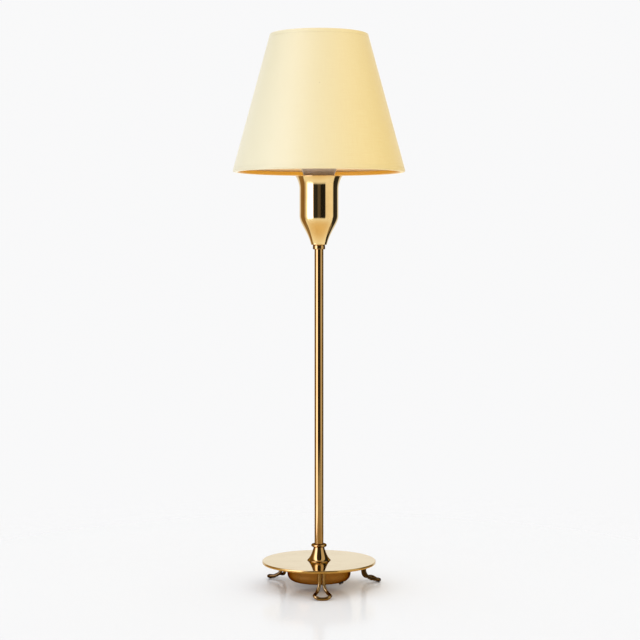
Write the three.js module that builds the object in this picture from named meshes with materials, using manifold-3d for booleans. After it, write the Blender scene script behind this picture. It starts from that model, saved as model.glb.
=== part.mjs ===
import * as THREE from 'three';
import { mergeVertices } from 'three/addons/utils/BufferGeometryUtils.js';
import Module from 'manifold-3d';

const wasm = await Module();
wasm.setup();

// A small brass table lamp with a cone shade that clips on the bulb. Sizes are in millimetres.
// It stands on z = 0, the stem is the z axis and -y is the front.

// Clearances
const seatGap = 0.3; // pieces that are cut to fit, turned or moved on each other
const slipFit = 0.15; // a bore over the round piece inside it, on the radius
const glueGap = 0.1; // between the layers of the shade

// Disc
const plateDiameter = 102.6;
const plateThickness = 2.4;
const plateEdgeRadius = 0.8;
const plateHeight = 21.8; // table to the underside

// Wire feet: two posts under the disc that splay, arch and close in a toe bar on the table
const footWireDiameter = 3;
const footPostInset = 6.3; // edge of the disc to the centre line of the posts
const footPostGap = 0.8; // between the two posts of a foot
const footSplayHeight = 12.5; // where the posts end and the splay starts
const footArchReach = 9; // posts to the widest point of the loop
const footArchHeight = 3.6; // centre line at the widest point
const footHalfWidth = 6.7; // centre line at the widest point
const footReach = 14.5; // posts to the toe bar
const footSplayPull = 5.5; // curve handles, along the wire
const footArchPull = 6;
const footToePull = 4.5;
const footLoopSlant = 0.25; // sideways share of the handles at the widest point
const toeFlatDepth = 0.2; // ground off the underside of the toe
const footDegrees = { foot_front: -87, foot_right: 25, foot_left: 137 };

// Weight pan and ballast
const panRimRadius = 30.6;
const panDepth = 15.7;
const panDraft = 2; // the wall draws in by this much from the rim to the floor
const panCornerRadius = 7.5;
const panWall = 0.9;
const panRecessRadius = 12; // pressed-up seat of the washer
const panRecessDepth = 4.2;
const panRecessDraft = 1;
const ballastRoom = 0.6; // to the pan wall and the disc
const leadGrooveWidth = 6;
const leadGrooveDepth = 7;

// Inlet bushing in the corner of the pan
const inletDegrees = -37; // round the stem, from +x
const inletTilt = 62; // below level
const bushingNeckRadius = 1.9;
const bushingBoreRadius = 1.3;
const bushingHeadRadius = 2.3;
const bushingHeadHeight = 1.4;
const bushingLipRadius = 2.4;
const bushingLipHeight = 1;
const bushingLipRoom = 0.25; // lip to the wall of the pan, as a share of the corner radius

// Stem, nuts and washer
const stemDiameter = 8;
const stemBore = 6;
const stemRise = 284.4; // top of the disc to the underside of the cup
const stemSlotWidth = 4.8;
const nutMargin = 1.2; // flats beyond the surface of the stem
const nutHeight = 3;
const nutSides = 6;
const washerMargin = 5; // rim beyond the surface of the stem
const washerThickness = 0.8;

// Knop and collar
const knopBaseRadius = 10.5;
const knopRimHeight = 0.6;
const knopNeckWall = 0.65;
const knopNeckHeight = 12.4;
const knopFlareReach = 2.8; // curve handles of the flare, beyond the neck and along z
const knopFlareHold = 2;
const knopNeckSplay = 0.8;
const knopNeckHold = 3.9;
const knopBeadRadius = 7;
const knopBeadHeight = 2.6;
const collarWall = 1.35;
const collarHeight = 3.9;
const collarChamfer = 0.5;

// Lampholder for a 14 mm screw cap
const holderRadius = 13.5;
const holderWall = 1.2;
const holderHeight = 31.1;
const holderLipThickness = 2;
const holderLipRoom = 1; // screw shell to the lip
const holderChamfer = 1;
const capNeckHeight = 5.6;
const capHeight = 16.5;
const capThreadLength = 8.6; // stem inside the cap
const capSeatWidth = 2.9; // top face that carries the block and the body
const capSeatDepth = 2;
const blockHeight = 5.1;
const shellBoreRadius = 7.2;
const shellWall = 0.4;
const shellHeight = 22;
const shellFlange = 2; // beyond the shell
const shellFlangeThickness = 0.5;
const terminalDistance = 7.5; // stem axis to each terminal screw
const screwHeadRadius = 2;
const screwHeadHeight = 1.6;
const screwShankRadius = 1.2;
const screwShankLength = 4.1;
const contactWidth = 4;
const contactThickness = 0.5;
const contactBaseLength = 7;
const contactBendRadius = 1.2;

// Leads
const leadDiameter = 1.8;
const leadGap = 0.4; // between the two leads
const leadBend = 3; // corner of the route to the start of its bend
const leadFineBend = 0.45; // the same at the terminals

// Cup
const cupWall = 0.8;
const cupNutRoom = 0.4; // corners of the nut to the foot of the cup
const cupRoom = 3.2; // lampholder to the cup wall
const cupShoulderRise = 6.1; // rim of the lampholder cap to the end of the shoulder
const cupStraightHeight = 23.5;
const cupFlareHeight = 11.6;
const cupFlareReach = 3.4; // lip beyond the cup wall
const cupFootSplay = 3.2; // start of the ogee
const cupFootHold = 0.5; // curve handles of the ogee, as shares of its height
const cupShoulderHold = 0.3;
const cupFlareHold = 0.47; // corner of the lip curve, as a share of its height

// Bulb
const bulbThreadRoom = 0.35; // screw shell to the bulb cap
const bulbCapWall = 0.4;
const bulbCapLength = 19.3;
const bulbSpigotLength = 10;
const insulatorHeight = 2.4;
const insulatorSpigot = 2;
const bulbFootRadius = 2.4;
const bulbFootHeight = 1.2;
const housingBaseRadius = 11;
const housingHeight = 25.2;
const housingFlareHold = 0.55; // corner of the side curve, as shares of its height and widening
const housingFlareReach = 0.33;
const globeDiameter = 45;
const globeWall = 1.5;
const globeCutDepth = 9.5; // centre of the globe down to its cut face
const globeLedge = 0.4; // globe beyond the housing
const ledBoardRadius = 15;
const ledBoardThickness = 1.4;

// Shade
const shadeBottomDiameter = 155;
const shadeTopDiameter = 87.3;
const shadeHeight = 123.1;
const shadeAbovePivot = 64.5;
const coverThickness = 0.6;
const liningThickness = 0.5;
const hemThickness = 0.4;
const hemHeight = 3.6;
const ringWireDiameter = 2.6;

// Bulb clip and the carrier wire of the shade
const pivotRise = 14.5; // top of the globe to the pivot bar
const carrierWireDiameter = 2.6;
const carrierArmDrop = 5; // straight end of an arm under the ring
const carrierBend = 4;
const barClearance = 4; // outer eye to the bend of the bar
const jawWireDiameter = 1.8;
const jawEyeOffset = 6; // middle of the lamp to the eyes of the front jaw
const jawEyeGap = 1.2; // between the eyes of the two jaws
const jawEyeTurn = 300; // degrees round the bar
const jawSpread = 38; // degrees from the middle of a jaw to its arms
const jawTopLift = 52; // degrees above the equator where an arm meets the globe
const jawDrop = 4; // straight part below the equator
const jawBend = 3;
const jawArmPull = 9; // curve handles of an arm

// Facets
const plateSegments = 48;
const spunSegments = 32;
const turnedSegments = 24;
const smallSegments = 16;
const shadeSegments = 36;
const wireSides = 8;
const fineWireSides = 6;
const bendSteps = 4;
const curveSteps = 4;
const spunSteps = 5;
const edgeSteps = 1;
const weldDistance = 1e-4;

// Radii and heights that several pieces share
const stemRadius = stemDiameter / 2;
const stemHole = stemRadius + slipFit;
const nutCorner = (stemRadius + nutMargin) / Math.cos(Math.PI / nutSides);
const plateRadius = plateDiameter / 2;
const plateTop = plateHeight + plateThickness;
const panFloor = plateHeight - panDepth;
const panSeat = panFloor + panRecessDepth;
const ballastTop = plateHeight - ballastRoom;
const leadLevel = ballastTop - leadGrooveDepth / 2;
const stemBottom = panSeat - washerThickness - nutHeight;
const cupBottom = plateTop + stemRise;
const capBase = cupBottom + cupWall + nutHeight;
const capRim = capBase + capHeight;
const stemTop = capBase + capThreadLength;
const blockTop = capRim + blockHeight;
const holderTop = capRim + holderHeight;
const holderBore = holderRadius - holderWall;
const cupRadius = holderRadius + cupRoom + cupWall;
const bulbSeat = holderTop + seatGap;
const bulbCapRadius = shellBoreRadius - bulbThreadRoom;
const bulbCapBottom = bulbSeat - bulbCapLength;
const bulbSpigotRadius = bulbCapRadius - bulbCapWall - seatGap;
const bulbFootTop = bulbCapBottom - insulatorHeight;
const bulbFootBottom = bulbFootTop - bulbFootHeight;
const housingTop = bulbSeat + housingHeight;
const globeRadius = globeDiameter / 2;
const globeCentre = housingTop + globeCutDepth;
const globeSeatRadius = Math.sqrt(globeRadius ** 2 - globeCutDepth ** 2);
const pivotHeight = globeCentre + globeRadius + pivotRise;
const shadeTop = pivotHeight + shadeAbovePivot;
const shadeBottom = shadeTop - shadeHeight;
const ringRadius = ringWireDiameter / 2;
const leadOffset = (leadDiameter + leadGap) / 2;

// Geometry helpers
const radians = THREE.MathUtils.degToRad;

function at(radius, height) {
  return new THREE.Vector2(radius, height);
}

function point(x, y, z) {
  return new THREE.Vector3(x, y, z);
}

// One closed skin: shared vertices are joined and collapsed triangles dropped
function weld(geometry) {
  geometry.deleteAttribute('normal');
  geometry.deleteAttribute('uv');
  const merged = mergeVertices(geometry, weldDistance);
  const corners = Array.from(merged.index.array);
  const kept = [];
  for (let i = 0; i < corners.length; i += 3) {
    const triangle = corners.slice(i, i + 3);
    if (new Set(triangle).size === 3) {
      kept.push(...triangle);
    }
  }
  merged.setIndex(kept);
  return merged;
}

// A profile of radius and height, turned round the z axis
function turned(profile, segments) {
  const outward = THREE.ShapeUtils.isClockWise(profile) ? profile.toReversed() : profile;
  const onAxis = outward[0].x === 0 && outward.at(-1).x === 0;
  const closed = onAxis ? outward : [...outward, outward[0]];
  const geometry = new THREE.LatheGeometry(closed, segments);
  geometry.rotateX(Math.PI / 2);
  return weld(geometry);
}

function roundWire(diameter, sides) {
  const section = new THREE.Shape();
  for (let side = 0; side < sides; side += 1) {
    const angle = (side / sides) * Math.PI * 2;
    const x = (diameter / 2) * Math.cos(angle);
    const y = (diameter / 2) * Math.sin(angle);
    if (side === 0) {
      section.moveTo(x, y);
    } else {
      section.lineTo(x, y);
    }
  }
  section.closePath();
  return section;
}

// A run of curves in which a straight takes one step and a bend takes several
class Route extends THREE.CurvePath {
  constructor(curves) {
    super();
    this.curves = curves;
    this.spans = curves.flatMap((curve) => {
      const count = curve.isLineCurve3 ? 1 : bendSteps;
      return Array.from({ length: count }, (_, step) => ({ curve, from: step / count, share: 1 / count }));
    });
  }

  getPoint(t) {
    const place = t * this.spans.length;
    const index = Math.min(Math.floor(place), this.spans.length - 1);
    const { curve, from, share } = this.spans[index];
    return curve.getPointAt(from + share * (place - index));
  }

  getUtoTmapping(u) {
    return u;
  }
}

// Part of a circle about a centre, from one angle to another
class ArcCurve extends THREE.Curve {
  constructor(centre, across, up, fromDegrees, toDegrees) {
    super();
    Object.assign(this, { centre, across, up, from: radians(fromDegrees), to: radians(toDegrees) });
  }

  getPoint(t) {
    const angle = THREE.MathUtils.lerp(this.from, this.to, t);
    const place = this.centre.clone();
    place.addScaledVector(this.across, Math.cos(angle));
    return place.addScaledVector(this.up, Math.sin(angle));
  }
}

// A curve run backwards on the other side of a plane through the axis
class MirrorCurve extends THREE.Curve {
  constructor(curve, axis) {
    super();
    Object.assign(this, { curve, axis, isLineCurve3: curve.isLineCurve3 });
  }

  getPoint(t) {
    const place = this.curve.getPoint(1 - t);
    place[this.axis] *= -1;
    return place;
  }
}

function mirroredRoute(half, axis) {
  const otherHalf = half.toReversed().map((curve) => new MirrorCurve(curve, axis));
  return new Route([...half, ...otherHalf]);
}

// Straights between the corners, with each corner rounded off from the given distance
function bentCurves(corners, bend) {
  const curves = [];
  let start = corners[0];
  for (let i = 1; i < corners.length - 1; i += 1) {
    const corner = corners[i];
    const toPrevious = corners[i - 1].clone().sub(corner).setLength(bend);
    const toNext = corners[i + 1].clone().sub(corner).setLength(bend);
    const before = corner.clone().add(toPrevious);
    const after = corner.clone().add(toNext);
    curves.push(new THREE.LineCurve3(start, before));
    curves.push(new THREE.QuadraticBezierCurve3(before, corner, after));
    start = after;
  }
  curves.push(new THREE.LineCurve3(start, corners.at(-1)));
  return curves;
}

function swept(section, route) {
  const steps = route.spans.length;
  return weld(new THREE.ExtrudeGeometry(section, { extrudePath: route, steps, bevelEnabled: false }));
}

function box(xFrom, xTo, yFrom, yTo, zFrom, zTo) {
  const geometry = new THREE.BoxGeometry(xTo - xFrom, yTo - yFrom, zTo - zFrom);
  geometry.translate((xFrom + xTo) / 2, (yFrom + yTo) / 2, (zFrom + zTo) / 2);
  return weld(geometry);
}

function rod(radius, zFrom, zTo) {
  return turned([at(0, zFrom), at(radius, zFrom), at(radius, zTo), at(0, zTo)], smallSegments);
}

function solid(geometry) {
  const vertProperties = geometry.attributes.position.array;
  const triVerts = Uint32Array.from(geometry.index.array);
  return new wasm.Manifold(new wasm.Mesh({ numProp: 3, vertProperties, triVerts }));
}

function cut(geometry, ...tools) {
  const rest = tools.reduce((body, tool) => body.subtract(solid(tool)), solid(geometry));
  const { vertProperties, triVerts } = rest.getMesh();
  const result = new THREE.BufferGeometry();
  result.setAttribute('position', new THREE.BufferAttribute(vertProperties.slice(), 3));
  result.setIndex(Array.from(triVerts));
  return result;
}

// Finishes, one material for each piece
function finish(colour, roughness, metalness) {
  return new THREE.MeshStandardMaterial({ color: colour, roughness, metalness });
}

const polishedBrass = () => finish(0xc8a15a, 0.15, 1);
const dullBrass = () => finish(0x8c6a38, 0.35, 1);
const castIron = () => finish(0x3a3836, 0.7, 0.8);
const steel = () => finish(0x9a9a98, 0.35, 1);
const blackMoulding = () => finish(0x1d1b19, 0.4, 0);
const whiteCeramic = () => finish(0xe9e5da, 0.35, 0);
const blackRubber = () => finish(0x151515, 0.8, 0);
const greyPlastic = () => finish(0xcac8c2, 0.45, 0);
const opalPlastic = () => finish(0xf5f1e6, 0.3, 0);
const creamCloth = () => finish(0xf1e4b6, 0.85, 0);
const ochreLining = () => finish(0xd8ad6c, 0.6, 0);

const lamp = new THREE.Group();
const wired = new THREE.Group(); // pieces that the leads pass through, with the inlet on +x
wired.rotation.z = radians(inletDegrees);
lamp.add(wired);

function place(parent, name, geometry, material) {
  const mesh = new THREE.Mesh(geometry, material);
  mesh.name = name;
  parent.add(mesh);
  return mesh;
}

// Disc with a rounded edge
function plate() {
  const edge = plateRadius - plateEdgeRadius;
  const profile = new THREE.Path();
  profile.moveTo(stemHole, plateHeight);
  profile.lineTo(edge, plateHeight);
  profile.absarc(edge, plateHeight + plateEdgeRadius, plateEdgeRadius, -Math.PI / 2, 0);
  profile.absarc(edge, plateTop - plateEdgeRadius, plateEdgeRadius, 0, Math.PI / 2);
  profile.lineTo(stemHole, plateTop);
  return turned(profile.getPoints(edgeSteps), plateSegments);
}

place(lamp, 'base_plate', plate(), polishedBrass());

// One foot, reaching out along +x from the stem axis
function foot() {
  const radius = footWireDiameter / 2;
  const post = plateRadius - footPostInset;
  const postOffset = radius + footPostGap / 2;
  const toeHeight = radius - toeFlatDepth;
  const arch = post + footArchReach;
  const toe = post + footReach;
  const postTop = point(post, postOffset, plateHeight);
  const postEnd = point(post, postOffset, footSplayHeight);
  const splayHandle = point(post, postOffset, footSplayHeight - footSplayPull);
  const archSide = footHalfWidth - footArchPull * footLoopSlant;
  const archHandle = point(arch - footArchPull, archSide, footArchHeight);
  const archPoint = point(arch, footHalfWidth, footArchHeight);
  const outerSide = footHalfWidth + footToePull * footLoopSlant;
  const outerHandle = point(arch + footToePull, outerSide, footArchHeight);
  const toeHandle = point(toe, footToePull, toeHeight);
  const toeMiddle = point(toe, 0, toeHeight);
  const half = [
    new THREE.LineCurve3(postTop, postEnd),
    new THREE.CubicBezierCurve3(postEnd, splayHandle, archHandle, archPoint),
    new THREE.CubicBezierCurve3(archPoint, outerHandle, toeHandle, toeMiddle),
  ];
  const wire = swept(roundWire(footWireDiameter, wireSides), mirroredRoute(half, 'y'));
  const span = toe + footWireDiameter;
  return cut(wire, box(0, span, -span, span, -footWireDiameter, 0));
}

for (const [name, degrees] of Object.entries(footDegrees)) {
  const mesh = place(lamp, name, foot(), polishedBrass());
  mesh.rotation.z = radians(degrees);
}

// Dish section at a distance inside its outer skin, from the stem hole out to the rim
function panSection(inset) {
  const floor = panFloor + inset;
  const wallFoot = panRimRadius - panDraft - inset;
  const corner = panCornerRadius - inset;
  const section = new THREE.Path();
  section.moveTo(stemHole, panSeat + inset);
  section.lineTo(panRecessRadius + inset, panSeat + inset);
  section.lineTo(panRecessRadius + panRecessDraft + inset, floor);
  section.lineTo(wallFoot - corner, floor);
  section.quadraticCurveTo(wallFoot, floor, wallFoot, floor + corner);
  section.lineTo(panRimRadius - inset, plateHeight);
  return section.getPoints(curveSteps);
}

// The inlet crosses the rounded corner of the pan, half way round it
const inletRadius = panRimRadius - panDraft - panCornerRadius * (1 - Math.cos(radians(inletTilt)));
const inletHeight = panFloor + panCornerRadius * (1 - Math.sin(radians(inletTilt)));
const bushingLipTop = -(panWall + panCornerRadius * bushingLipRoom);
const bushingInnerEnd = bushingLipTop - bushingLipHeight;

// The leads start behind the bushing and climb along its axis to the groove in the ballast
const leadStartDepth = bushingInnerEnd - seatGap;
const leadStartRadius = inletRadius + leadStartDepth * Math.cos(radians(inletTilt));
const leadStartHeight = inletHeight - leadStartDepth * Math.sin(radians(inletTilt));
const leadTurnRadius = leadStartRadius - (leadLevel - leadStartHeight) / Math.tan(radians(inletTilt));

function setInInlet(object) {
  object.rotation.y = Math.PI / 2 + radians(inletTilt);
  object.position.set(inletRadius, 0, inletHeight);
  return object;
}

function weightPan() {
  const shell = turned([...panSection(0), ...panSection(panWall).toReversed()], spunSegments);
  const drill = rod(bushingNeckRadius + seatGap, bushingInnerEnd, bushingHeadHeight);
  const placing = setInInlet(new THREE.Object3D());
  placing.updateMatrix();
  return cut(shell, drill.applyMatrix4(placing.matrix));
}

place(wired, 'weight_pan', weightPan(), dullBrass());

// Cast ring on the pan floor, with a notch for the bushing and a groove for the leads
function ballast() {
  const radius = panRimRadius - panDraft - panWall - ballastRoom;
  const bottom = panFloor + panWall;
  const bore = stemRadius + seatGap;
  const recess = panRecessRadius + panRecessDraft + panWall + ballastRoom;
  const recessTop = panSeat + panWall + seatGap;
  const ring = turned([
    at(bore, recessTop),
    at(recess, recessTop),
    at(recess, bottom),
    at(radius - panCornerRadius, bottom),
    at(radius, bottom + panCornerRadius),
    at(radius, ballastTop),
    at(bore, ballastTop),
  ], spunSegments);
  const notchHalf = bushingHeadRadius + ballastRoom;
  const notchStart = leadTurnRadius - leadDiameter;
  const notch = box(notchStart, panRimRadius, -notchHalf, notchHalf, 0, plateHeight);
  const grooveHalf = leadGrooveWidth / 2;
  const groove = box(0, panRimRadius, -grooveHalf, grooveHalf, ballastTop - leadGrooveDepth, plateHeight);
  return cut(ring, notch, groove);
}

place(wired, 'ballast', ballast(), castIron());

function washer() {
  const rim = stemRadius + washerMargin;
  const bottom = panSeat - washerThickness;
  return turned([
    at(stemHole, bottom),
    at(rim, bottom),
    at(rim, panSeat),
    at(stemHole, panSeat),
  ], turnedSegments);
}

place(lamp, 'pan_washer', washer(), steel());

function hexNut(bottom) {
  const outline = roundWire(nutCorner * 2, nutSides);
  outline.holes.push(new THREE.Path(roundWire(stemHole * 2, turnedSegments).getPoints().toReversed()));
  const geometry = new THREE.ExtrudeGeometry(outline, { depth: nutHeight, bevelEnabled: false });
  geometry.translate(0, 0, bottom);
  return weld(geometry);
}

place(lamp, 'pan_nut', hexNut(stemBottom), steel());

// Rubber bushing, turned about its own axis and set into the corner of the pan
function bushing() {
  const headEdge = bushingHeadRadius - bushingNeckRadius + bushingBoreRadius;
  return turned([
    at(bushingBoreRadius, bushingInnerEnd),
    at(bushingLipRadius, bushingInnerEnd),
    at(bushingLipRadius, bushingLipTop),
    at(bushingNeckRadius, bushingLipTop),
    at(bushingNeckRadius, seatGap),
    at(bushingHeadRadius, seatGap),
    at(bushingHeadRadius, bushingHeadHeight / 2),
    at(headEdge, bushingHeadHeight),
    at(bushingBoreRadius, bushingHeadHeight),
  ], smallSegments);
}

setInInlet(place(wired, 'inlet_bushing', bushing(), blackRubber()));

// Tube stem with a side slot above the ballast groove, where the leads go in
function stem() {
  const bore = stemBore / 2;
  const tube = turned([
    at(bore, stemBottom),
    at(stemRadius, stemBottom),
    at(stemRadius, stemTop),
    at(bore, stemTop),
  ], turnedSegments);
  const slotHalf = stemSlotWidth / 2;
  const slotBottom = ballastTop - leadGrooveDepth + seatGap;
  return cut(tube, box(0, stemDiameter, -slotHalf, slotHalf, slotBottom, ballastTop));
}

place(wired, 'stem', stem(), polishedBrass());

// Trumpet flare under a bead
function knop() {
  const neck = stemHole + knopNeckWall;
  const rimTop = plateTop + knopRimHeight;
  const neckTop = plateTop + knopNeckHeight;
  const beadMiddle = neckTop + knopBeadHeight / 2;
  const profile = new THREE.Path();
  profile.moveTo(stemHole, plateTop);
  profile.lineTo(knopBaseRadius, plateTop);
  profile.lineTo(knopBaseRadius, rimTop);
  profile.bezierCurveTo(
    neck + knopFlareReach, rimTop + knopFlareHold,
    neck + knopNeckSplay, neckTop - knopNeckHold,
    neck, neckTop,
  );
  profile.quadraticCurveTo(knopBeadRadius, neckTop, knopBeadRadius, beadMiddle);
  profile.quadraticCurveTo(knopBeadRadius, neckTop + knopBeadHeight, neck, neckTop + knopBeadHeight);
  profile.lineTo(stemHole, neckTop + knopBeadHeight);
  return turned(profile.getPoints(curveSteps), turnedSegments);
}

place(lamp, 'knop', knop(), polishedBrass());

function collar() {
  const radius = stemHole + collarWall;
  const bottom = cupBottom - collarHeight;
  return turned([
    at(stemHole, bottom),
    at(radius - collarChamfer, bottom),
    at(radius, bottom + collarChamfer),
    at(radius, cupBottom - collarChamfer),
    at(radius - collarChamfer, cupBottom),
    at(stemHole, cupBottom),
  ], turnedSegments);
}

place(lamp, 'collar', collar(), polishedBrass());

// Cup skin at a distance inside the outer one, from its foot up to the lip
function cupSection(inset) {
  const footRadius = nutCorner + cupNutRoom + cupWall - inset;
  const wallRadius = cupRadius - inset;
  const bottom = cupBottom + inset;
  const shoulderTop = capRim + cupShoulderRise;
  const rise = shoulderTop - bottom;
  const flareBottom = shoulderTop + cupStraightHeight;
  const rim = flareBottom + cupFlareHeight;
  const section = new THREE.Path();
  section.moveTo(footRadius, bottom);
  section.bezierCurveTo(
    footRadius + cupFootSplay, bottom + rise * cupFootHold,
    wallRadius, shoulderTop - rise * cupShoulderHold,
    wallRadius, shoulderTop,
  );
  section.lineTo(wallRadius, flareBottom);
  section.quadraticCurveTo(
    wallRadius, flareBottom + cupFlareHeight * cupFlareHold,
    wallRadius + cupFlareReach, rim,
  );
  return section.getPoints(spunSteps);
}

function socketCup() {
  const outer = cupSection(0);
  const inner = cupSection(cupWall).toReversed();
  const hole = [at(stemHole, cupBottom + cupWall), at(stemHole, cupBottom)];
  return turned([...outer, ...inner, ...hole], spunSegments);
}

place(lamp, 'socket_cup', socketCup(), polishedBrass());
place(lamp, 'cup_nut', hexNut(cupBottom + cupWall), steel());

// Moulded cap screwed on the stem, hollow at the top for the terminals
function lampholderCap() {
  const neck = nutCorner + slipFit;
  const seatBore = holderRadius - capSeatWidth;
  return turned([
    at(stemHole, capBase),
    at(neck, capBase),
    at(neck, capBase + capNeckHeight),
    at(holderRadius, capRim),
    at(seatBore, capRim),
    at(seatBore, capRim - capSeatDepth),
    at(stemHole, stemTop),
  ], turnedSegments);
}

place(lamp, 'lampholder_cap', lampholderCap(), blackMoulding());

function lampholderBody() {
  const lipHole = shellBoreRadius + shellWall + holderLipRoom;
  const lipBottom = holderTop - holderLipThickness;
  return turned([
    at(holderBore, capRim),
    at(holderRadius, capRim),
    at(holderRadius, holderTop - holderChamfer),
    at(holderRadius - holderChamfer, holderTop),
    at(lipHole, holderTop),
    at(lipHole, lipBottom),
    at(holderBore, lipBottom),
  ], turnedSegments);
}

place(lamp, 'lampholder_body', lampholderBody(), blackMoulding());

function contactBlock() {
  const radius = holderBore - seatGap;
  const profile = [at(0, capRim), at(radius, capRim), at(radius, blockTop), at(0, blockTop)];
  const disc = turned(profile, turnedSegments);
  const holes = [-1, 1].map((side) => {
    const hole = rod(screwShankRadius + slipFit, capRim - seatGap, blockTop + seatGap);
    return hole.translate(0, side * terminalDistance, 0);
  });
  return cut(disc, ...holes);
}

place(wired, 'contact_block', contactBlock(), whiteCeramic());

function terminalScrew(side) {
  const profile = [
    at(0, capRim - screwHeadHeight),
    at(screwHeadRadius, capRim - screwHeadHeight),
    at(screwHeadRadius, capRim),
    at(screwShankRadius, capRim),
    at(screwShankRadius, capRim + screwShankLength),
    at(0, capRim + screwShankLength),
  ];
  return turned(profile, smallSegments).translate(0, side * terminalDistance, 0);
}

place(wired, 'terminal_screw_live', terminalScrew(1), polishedBrass());
place(wired, 'terminal_screw_neutral', terminalScrew(-1), polishedBrass());

function screwShell() {
  const outer = shellBoreRadius + shellWall;
  return turned([
    at(shellBoreRadius, blockTop),
    at(outer + shellFlange, blockTop),
    at(outer + shellFlange, blockTop + shellFlangeThickness),
    at(outer, blockTop + shellFlangeThickness),
    at(outer, blockTop + shellHeight),
    at(shellBoreRadius, blockTop + shellHeight),
  ], turnedSegments);
}

place(lamp, 'screw_shell', screwShell(), polishedBrass());

// Leaf spring folded back over its base, just under the foot of the bulb
function centreContact() {
  const half = contactThickness / 2;
  const base = blockTop + half;
  const tip = bulbFootBottom - seatGap - half;
  const bendTop = base + contactBendRadius * 2;
  const foldAt = contactBendRadius - contactBaseLength / 2;
  const bendCentre = point(foldAt, 0, base + contactBendRadius);
  const across = point(-contactBendRadius, 0, 0);
  const up = point(0, 0, contactBendRadius);
  const route = new Route([
    new THREE.LineCurve3(point(contactBaseLength / 2, 0, base), point(foldAt, 0, base)),
    new ArcCurve(bendCentre, across, up, -90, 90),
    new THREE.LineCurve3(point(foldAt, 0, bendTop), point(bulbFootRadius, 0, tip)),
  ]);
  const section = new THREE.Shape([
    at(-half, -contactWidth / 2),
    at(half, -contactWidth / 2),
    at(half, contactWidth / 2),
    at(-half, contactWidth / 2),
  ]);
  return swept(section, route);
}

place(lamp, 'centre_contact', centreContact(), polishedBrass());

// One lead: bushing, ballast groove, stem and terminal
function lead(side) {
  const offset = side * leadOffset;
  const terminalLevel = capRim - leadDiameter / 2 - seatGap;
  const terminalEnd = side * (terminalDistance - screwHeadRadius - seatGap);
  const corners = [
    point(leadStartRadius, offset, leadStartHeight),
    point(leadTurnRadius, offset, leadLevel),
    point(0, offset, leadLevel),
    point(0, offset, stemTop + leadDiameter / 2),
    point(0, terminalEnd - side * leadDiameter / 2, terminalLevel),
    point(0, terminalEnd, terminalLevel),
  ];
  const lower = bentCurves(corners.slice(0, 4), leadBend);
  const upper = bentCurves(corners.slice(2), leadFineBend);
  const riser = new THREE.LineCurve3(lower.at(-1).v1, upper[0].v2);
  const route = new Route([...lower.slice(0, -1), riser, ...upper.slice(1)]);
  return swept(roundWire(leadDiameter, fineWireSides), route);
}

place(wired, 'lead_live', lead(1), finish(0x6d4022, 0.5, 0));
place(wired, 'lead_neutral', lead(-1), finish(0x2d5590, 0.5, 0));

// Bulb: foot contact and insulator
function bulbFoot() {
  const edge = bulbFootHeight / 2;
  return turned([
    at(0, bulbFootBottom),
    at(bulbFootRadius - edge, bulbFootBottom),
    at(bulbFootRadius, bulbFootBottom + edge),
    at(bulbFootRadius, bulbFootTop),
    at(0, bulbFootTop),
  ], smallSegments);
}

place(lamp, 'bulb_foot_contact', bulbFoot(), polishedBrass());

function bulbInsulator() {
  const coneTop = bulbCapBottom - seatGap;
  const coneRadius = bulbCapRadius - bulbCapWall;
  return turned([
    at(0, bulbFootTop),
    at(bulbFootRadius + bulbFootHeight / 2, bulbFootTop),
    at(coneRadius, coneTop),
    at(bulbSpigotRadius, coneTop),
    at(bulbSpigotRadius, bulbCapBottom + insulatorSpigot),
    at(0, bulbCapBottom + insulatorSpigot),
  ], turnedSegments);
}

place(lamp, 'bulb_insulator', bulbInsulator(), blackMoulding());

// Bulb: screw cap, flared housing, light board and globe
function bulbCap() {
  const bore = bulbCapRadius - bulbCapWall;
  return turned([
    at(bore, bulbCapBottom),
    at(bulbCapRadius, bulbCapBottom),
    at(bulbCapRadius, bulbSeat),
    at(bore, bulbSeat),
  ], turnedSegments);
}

place(lamp, 'bulb_cap', bulbCap(), steel());

function bulbHousing() {
  const topRadius = globeSeatRadius - globeLedge;
  const corner = housingBaseRadius + (topRadius - housingBaseRadius) * housingFlareReach;
  const profile = new THREE.Path();
  profile.moveTo(0, bulbSeat - bulbSpigotLength);
  profile.lineTo(bulbSpigotRadius, bulbSeat - bulbSpigotLength);
  profile.lineTo(bulbSpigotRadius, bulbSeat);
  profile.lineTo(housingBaseRadius, bulbSeat);
  profile.quadraticCurveTo(corner, bulbSeat + housingHeight * housingFlareHold, topRadius, housingTop);
  profile.lineTo(0, housingTop);
  return turned(profile.getPoints(curveSteps), turnedSegments);
}

place(lamp, 'bulb_housing', bulbHousing(), greyPlastic());

function ledBoard() {
  const top = housingTop + ledBoardThickness;
  const profile = [at(0, housingTop), at(ledBoardRadius, housingTop), at(ledBoardRadius, top), at(0, top)];
  return turned(profile, turnedSegments);
}

place(lamp, 'led_board', ledBoard(), whiteCeramic());

function globeSkin(radius) {
  const skin = new THREE.Path();
  skin.absarc(0, globeCentre, radius, -Math.asin(globeCutDepth / radius), Math.PI / 2);
  return skin.getPoints(curveSteps);
}

function bulbGlobe() {
  const outer = globeSkin(globeRadius);
  const inner = globeSkin(globeRadius - globeWall).toReversed();
  return turned([...outer, ...inner], turnedSegments);
}

place(lamp, 'bulb_globe', bulbGlobe(), opalPlastic());

// Shade: radius of the cone at a height, at a depth inside the outside of the hems
const shadeSlope = (shadeBottomDiameter - shadeTopDiameter) / 2 / shadeHeight;

function shadeRadius(height, depth) {
  return shadeBottomDiameter / 2 - shadeSlope * (height - shadeBottom) - depth;
}

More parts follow.
